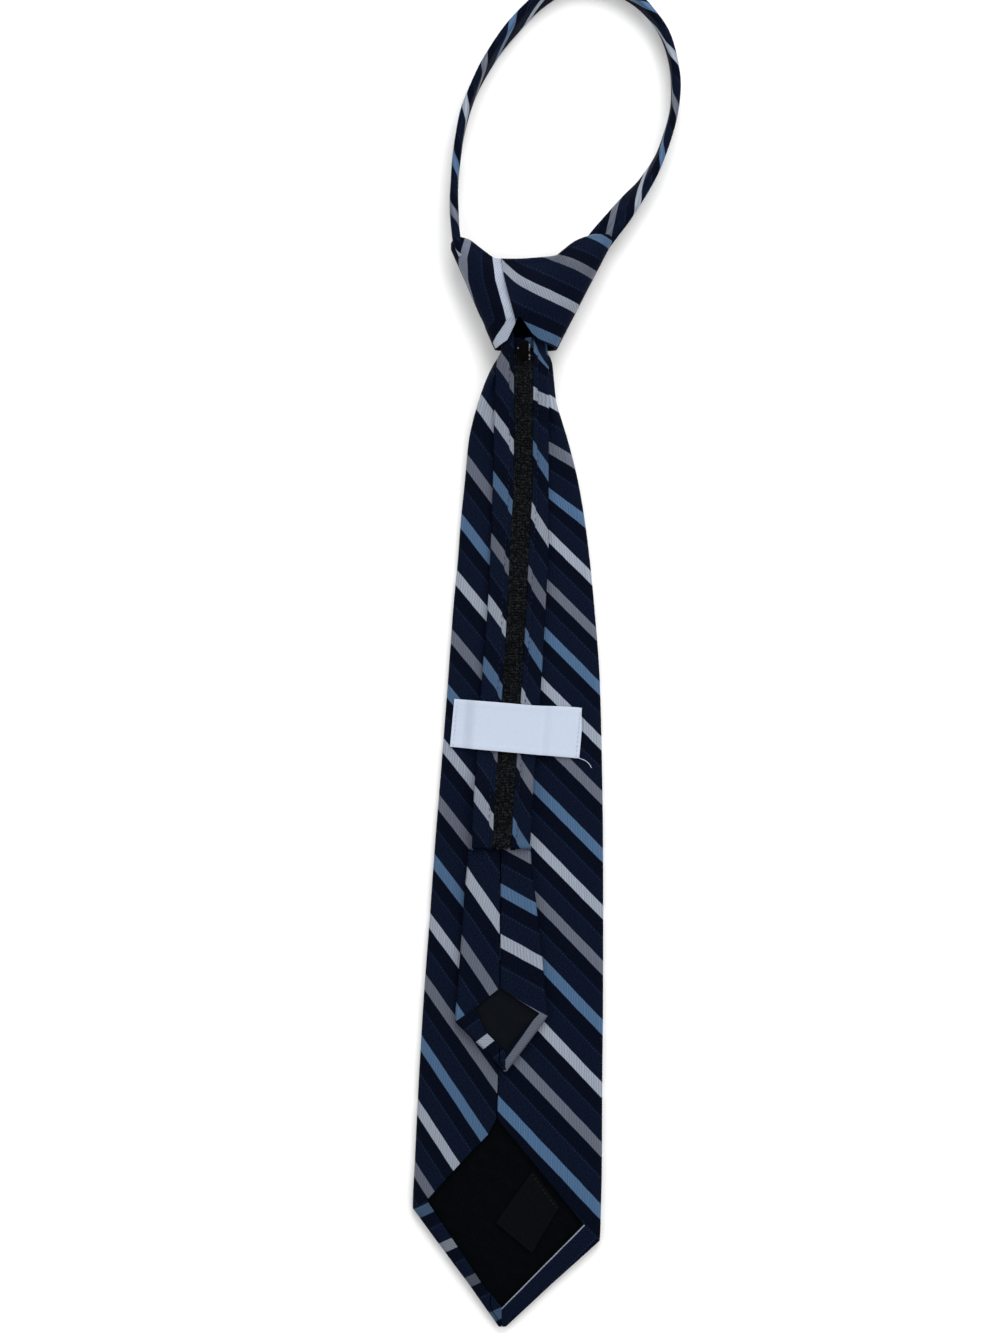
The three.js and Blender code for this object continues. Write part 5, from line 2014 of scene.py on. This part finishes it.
    def wrap(self, side: Side | None, material: bpy.types.Material) -> bpy.types.Object:
        """Builds one wrap and hands it over.

        Args:
            side: which back wrap, or None for the front one.
            material: the silk.

        Returns:
            The piece.
        """
        points = self.grid(back=side is not None)
        self.relief(points, side)
        net = Net(points)
        far = 90.0
        if side is None:
            name, node = "knot_front_silk", "knot_front"
            net.dress({0: lambda x, y, z, u, v: ((0.8 * x + 0.3 * z - y) / 1.28 + 16.5, 0.62 * x + 0.78 * y)})
        else:
            sign = side.value
            seam = [(x + (0.0 if side is Side.RIGHT else 0.35), y) for x, y in self.seam]
            net.cut([*seam, (sign * far, -9.0), (sign * far, 60.0)], keep=True)
            net.cut(list(self.vee), keep=False)
            name, node = f"knot_back_{side.name.lower()}_silk", f"knot_back_{side.name.lower()}"
            count = self.left_count if side is Side.LEFT else self.right_count
            run = (0.2, -0.98) if side is Side.LEFT else (-0.9, 0.44)
            # painted light and shade: the left back wrap's stripes are lightened, the right one's darkened
            painted_light_share = {0: 0.25 if side is Side.LEFT else -0.25}
            net.dress({0: lambda x, y, z, u, v: (count(x, y) * PITCH, run[0] * x + run[1] * y)}, painted_light=painted_light_share)
        piece = net.to_object(name, up=lambda face: face.normal.z * (1 if side else -1))
        thicken(piece, self.wall, 0.35)
        return hand_over(piece, material, (node,))


# ---------------------------------------------------------------- neck loop

LOOP_ROUTE = Table(
    "row across up rise lean",
    tuple(
        (float(i), *row)
        for i, row in enumerate(
            (
                (0.038, -0.066, 1.70, 0),
                (0.016, -0.010, 1.64, 0),
                (0.007, 0.039, 1.42, 0),
                (0.000, 0.132, 1.12, 0),
                (0.002, 0.225, 1.01, 0),
                (0.011, 0.318, 1.01, 0),
                (0.027, 0.411, 1.01, 1),
                (0.052, 0.505, 1.01, 2),
                (0.095, 0.598, 1.02, 5),
                (0.152, 0.691, 1.04, 9),
                (0.226, 0.784, 1.06, 13),
                (0.321, 0.877, 1.06, 15),
                (0.405, 0.940, 1.06, 14),
                (0.500, 0.985, 1.05, 12),
                (0.607, 1.000, 1.04, 9),
                (0.718, 0.982, 1.03, 6),
                (0.830, 0.928, 1.02, 4),
                (0.910, 0.854, 1.02, 3),
                (0.958, 0.784, 1.01, 2),
                (0.989, 0.691, 1.01, 1),
                (1.000, 0.598, 1.01, 1),
                (0.992, 0.505, 1.01, 2),
                (0.964, 0.411, 1.02, 4),
                (0.924, 0.318, 1.06, 9),
                (0.865, 0.228, 1.14, 20),
                (0.797, 0.151, 1.30, 40),
                (0.737, 0.085, 1.36, 52),
                (0.675, 0.022, 1.02, 60),
                (0.635, -0.022, 0.80, 62),
            )
        )
    ),
)


@dataclass
class NeckLoop:
    """The neck strap: a flattened hollow tube of silk on edge, round from wing to wing."""

    width: float = 90
    height: float = 105
    left: float = -0.315
    foot: float = 0.965 * 46
    strap_wide: float = 11
    strap_thick: float = 3.6
    slant: float = 1.3
    marks: tuple[tuple[str, float, float], ...] = (
        ("left", 55.4, 1),
        ("left", 75.8, 2),
        ("left", 99.0, 3),
        ("left", 116.1, 4),
        ("left", 132.0, 5),
        ("right", 137.7, 8),
        ("right", 118.6, 9),
        ("right", 97.8, 10),
        ("right", 77.8, 11),
        ("right", 59.5, 12),
    )

    def path(self, count: int) -> tuple[np.ndarray, np.ndarray, np.ndarray]:
        """Returns places along the strap's middle, their leans and the lengths so far."""
        rows = LOOP_ROUTE.column("row")
        share = np.linspace(0, rows[-1], count)

        def smooth(name: str) -> np.ndarray:
            """Returns a column read with even bends."""
            values = np.array(LOOP_ROUTE.column(name))
            i = np.clip(share.astype(int), 0, len(rows) - 2)
            t = share - i
            p0, p1 = values[np.maximum(i - 1, 0)], values[i]
            p2, p3 = values[i + 1], values[np.minimum(i + 2, len(rows) - 1)]
            bend, twist = 2 * p0 - 5 * p1 + 4 * p2 - p3, 3 * p1 - p0 - 3 * p2 + p3
            return 0.5 * (2 * p1 + (p2 - p0) * t + bend * t**2 + twist * t**3)

        x = (self.left + smooth("across")) * self.width
        y = self.foot + smooth("up") * self.height
        z = smooth("rise") * self.strap_wide / 2
        places = np.stack([x, y, z], axis=-1)
        steps = np.linalg.norm(np.diff(places[:, :2], axis=0), axis=1)
        return places, np.radians(smooth("lean")), np.concatenate([[0], np.cumsum(steps)])

    def build(self, material: bpy.types.Material) -> bpy.types.Object:
        """Builds the strap and hands it over.

        Args:
            material: the silk.

        Returns:
            The piece.
        """
        places, leans, lengths = self.path(330)
        ahead = np.gradient(places, axis=0)
        ahead[:, 2] = 0
        ahead /= np.linalg.norm(ahead, axis=1)[:, None]
        top = int(np.argmax(places[:, 1]))
        keys, counts = [], []
        for strand, y, count in self.marks:
            part = range(0, top) if strand == "left" else range(top, len(places))
            near = min(part, key=lambda i: abs(places[i, 1] - y))
            keys.append(lengths[near])
            counts.append(count)
        section = self.section()
        half = section[-1][2] / 2
        rows, lies = [], []
        for place, lean, way, length in zip(places, leans, ahead, lengths):
            out = np.array((-way[1], way[0], 0.0))
            up = np.array((0.0, 0.0, 1.0))
            wide = up * math.cos(lean) + out * math.sin(lean)
            deep = out * math.cos(lean) - up * math.sin(lean)
            puff = 1 + 0.05 * math.sin(length / 7.3) + 0.04 * math.sin(length / 3.1 + 1)
            wide, deep = wide * self.strap_wide, deep * self.strap_thick * puff
            rows.append([place + wide * w + deep * d for w, d, _ in section])
            phase = float(read_curve(length, keys, counts)) * PITCH
            lies.append([(phase + self.slant * (t - half), 0.6 * length + 0.6 * t) for _, _, t in section])
        points = np.array(rows)
        points[..., 2] = np.maximum(points[..., 2], 0.05)
        net = Net(points, np.array(lies), wrap=True)
        layer = net.bm.loops.layers.uv.new("cloth")
        around = section[-1][2] * len(section) / (len(section) - 1)
        for face in net.bm.faces:
            highest = max(vert[net.u] for vert in face.verts)
            for loop in face.loops:
                u, v = loop.vert[net.u], loop.vert[net.v]
                if u < highest - self.slant * around / 2:
                    u, v = u + self.slant * around, v + 0.6 * around
                loop[layer].uv = (u, v)
        net.bm.normal_update()
        if self.inside_out(net, places):
            bmesh.ops.reverse_faces(net.bm, faces=net.bm.faces)
        piece = net.to_object("neck_loop_silk", up=lambda face: 1.0)
        thicken(piece, 0.55)
        return hand_over(piece, material, ("neck_loop",))

    def inside_out(self, net: Net, places: np.ndarray) -> bool:
        """Returns whether the faces look towards the strap's middle line."""
        total = 0.0
        for face in list(net.bm.faces)[::37]:
            c = face.calc_center_median()
            near = places[np.argmin(np.linalg.norm(places - np.array(c), axis=1))]
            total += face.normal.dot(c - Vector(near))
        return total < 0

    @staticmethod
    def section() -> list[tuple[float, float, float]]:
        """Returns the strap's section: shares of width and thickness, and the way round in mm."""
        ring = []
        for turn in np.linspace(3 * math.pi, math.pi, 29)[:-1]:
            c, s = math.cos(turn), math.sin(turn)
            w = 0.5 * math.copysign(abs(c) ** 0.55, c)
            d = 0.5 * math.copysign(abs(s) ** 0.75, s) * (0.92 + 0.16 * abs(c))
            ring.append((w, d))
        track = [0.0]
        for (a, b), (c, d) in zip(ring, ring[1:]):
            track.append(track[-1] + math.hypot((c - a) * 11, (d - b) * 3.6))
        return [(w, d, t) for (w, d), t in zip(ring, track)]


# ---------------------------------------------------------------- studio


@dataclass
class Studio:
    """The floor, the soft lights and a camera that looks straight down."""

    view_centre: Pair = (-0.0189, -0.0052)
    view_size: Pair = (0.4075, 0.5432)
    camera_height: float = 1.3

    def build(self) -> None:
        """Builds the floor, the lights and the camera."""
        self.floor()
        self.lights()
        self.camera()

    def floor(self) -> None:
        """Lays the pale floor."""
        bm = bmesh.new()
        bmesh.ops.create_grid(bm, x_segments=8, y_segments=8, size=2.5)
        mesh = bpy.data.meshes.new("floor")
        bm.to_mesh(mesh)
        bm.free()
        floor = link("floor", mesh)
        floor.data.materials.append(FloorFinish().material())

    def lights(self) -> None:
        """Sets two large soft lights at the sides and one at the head, and a pale surround."""
        for name, place, size, power in (
            ("left_light", (-1.3, 0.2, 1.3), 1.4, 9.0),
            ("right_light", (1.3, 0.2, 1.3), 1.4, 12.0),
            ("head_light", (0.2, 1.05, 0.95), 0.8, 13.0),
        ):
            data = bpy.data.lights.new(name, "AREA")
            data.size = size
            data.energy = power
            lamp = bpy.data.objects.new(name, data)
            lamp.location = place
            lamp.rotation_euler = (Vector((0, 0, 0)) - Vector(place)).to_track_quat("-Z", "Y").to_euler()
            bpy.context.collection.objects.link(lamp)
        surround = bpy.data.worlds.new("surround")
        surround.use_nodes = True
        surround.node_tree.nodes["Background"].inputs["Color"].default_value = (1, 1, 1, 1)
        surround.node_tree.nodes["Background"].inputs["Strength"].default_value = 0.6
        bpy.context.scene.world = surround
        bpy.context.scene.view_settings.view_transform = "Standard"

    def camera(self) -> None:
        """Sets the camera over the tie, framed as in the photograph."""
        data = bpy.data.cameras.new("camera")
        data.sensor_fit = "VERTICAL"
        data.sensor_height = 24.0
        data.lens = 24.0 * self.camera_height / self.view_size[1]
        camera = bpy.data.objects.new("camera", data)
        camera.location = (*self.view_centre, self.camera_height)
        bpy.context.collection.objects.link(camera)
        bpy.context.scene.camera = camera


# ---------------------------------------------------------------- the tie

SATIN = PlainCloth(
    "black_satin",
    shade(2, 3, 5),
    shade(7, 9, 12),
    rib_step=0.22,
    cross_step=0.6,
    rough=0.45,
    specular=0.015,
    depth=0.015,
)
TAIL_SATIN = replace(
    SATIN, name="tail_satin", colour=shade(8, 11, 16), fleck=shade(16, 19, 25), specular=0.02
)
RIBBON = PlainCloth(
    "black_ribbon",
    shade(3, 4, 6),
    shade(9, 11, 15),
    rib_way=(0.8, -0.6, 0),
    cross_way=(0.6, 0.8, 0),
    rib_step=0.35,
    cross_step=0.5,
    specular=0.03,
)
KNIT = PlainCloth(
    "zipper_knit",
    shade(2, 3, 4),
    shade(46, 50, 52),
    rib_step=0.8,
    cross_step=0.62,
    grain=1.1,
    fleck_range=(0.49, 0.62),
    rough=0.7,
    specular=0.01,
    depth=0.12,
)
LABEL = PlainCloth(
    "label_satin",
    shade(174, 184, 201),
    shade(184, 193, 208),
    rib_way=(0.996, -0.09, 0),
    cross_way=(0.09, 0.996, 0),
    rib_step=0.4,
    cross_step=0.28,
    rough=0.55,
    specular=0.2,
    depth=0.02,
)
NAVY_THREAD = PlainCloth(
    "navy_thread", shade(20, 26, 44), shade(36, 44, 66), rib_step=0.2, cross_step=0.2, depth=0.02
)
THREADS = (
    NAVY_THREAD,
    replace(NAVY_THREAD, name="pale_thread", colour=shade(168, 175, 188), fleck=shade(190, 196, 206)),
    replace(NAVY_THREAD, name="black_thread", colour=shade(16, 17, 22), fleck=shade(40, 42, 50)),
)


def build_tie() -> None:
    """Builds the tie's pieces in order."""
    silk = StripedSilk().material()
    satin, tail_satin, ribbon = SATIN.material(), TAIL_SATIN.material(), RIBBON.material()
    knit, pale = KNIT.material(), LABEL.material()
    navy_thread, pale_thread, black_thread = (thread.material() for thread in THREADS)
    FRONT.build(silk, (0.155, 0.408), 0.052, ("floor",))
    Lining(FRONT, "blade_lining").build(satin, (0.07, 0.084))
    CareTag().build(ribbon, black_thread)
    TAIL.build(silk, (0.078, 0.112), 0.0072, ("front_blade_silk",))
    Lining(TAIL, "tail_lining").build(tail_satin, (0.03, 0.03))
    for band in (LEFT_BAND, RIGHT_BAND):
        band.build(silk)
        hand_over(band.stitches(navy_thread), navy_thread)
    strip = ZipStrip()
    strip.tape(Side.LEFT, knit)
    strip.tape(Side.RIGHT, knit)
    strip.chain(knit)
    ZipSlider().build(EnamelWithPaintedGlints().material())
    KeeperLabel().build(pale, pale_thread)
    knot = Knot()
    for side in (None, Side.LEFT, Side.RIGHT):
        knot.wrap(side, silk)
    NeckLoop().build(silk)


def main() -> None:
    """Builds the tie and its studio."""
    logging.basicConfig(level=logging.INFO, format="%(name)s %(message)s")
    build_tie()
    Studio().build()


if __name__ == "__main__":
    main()
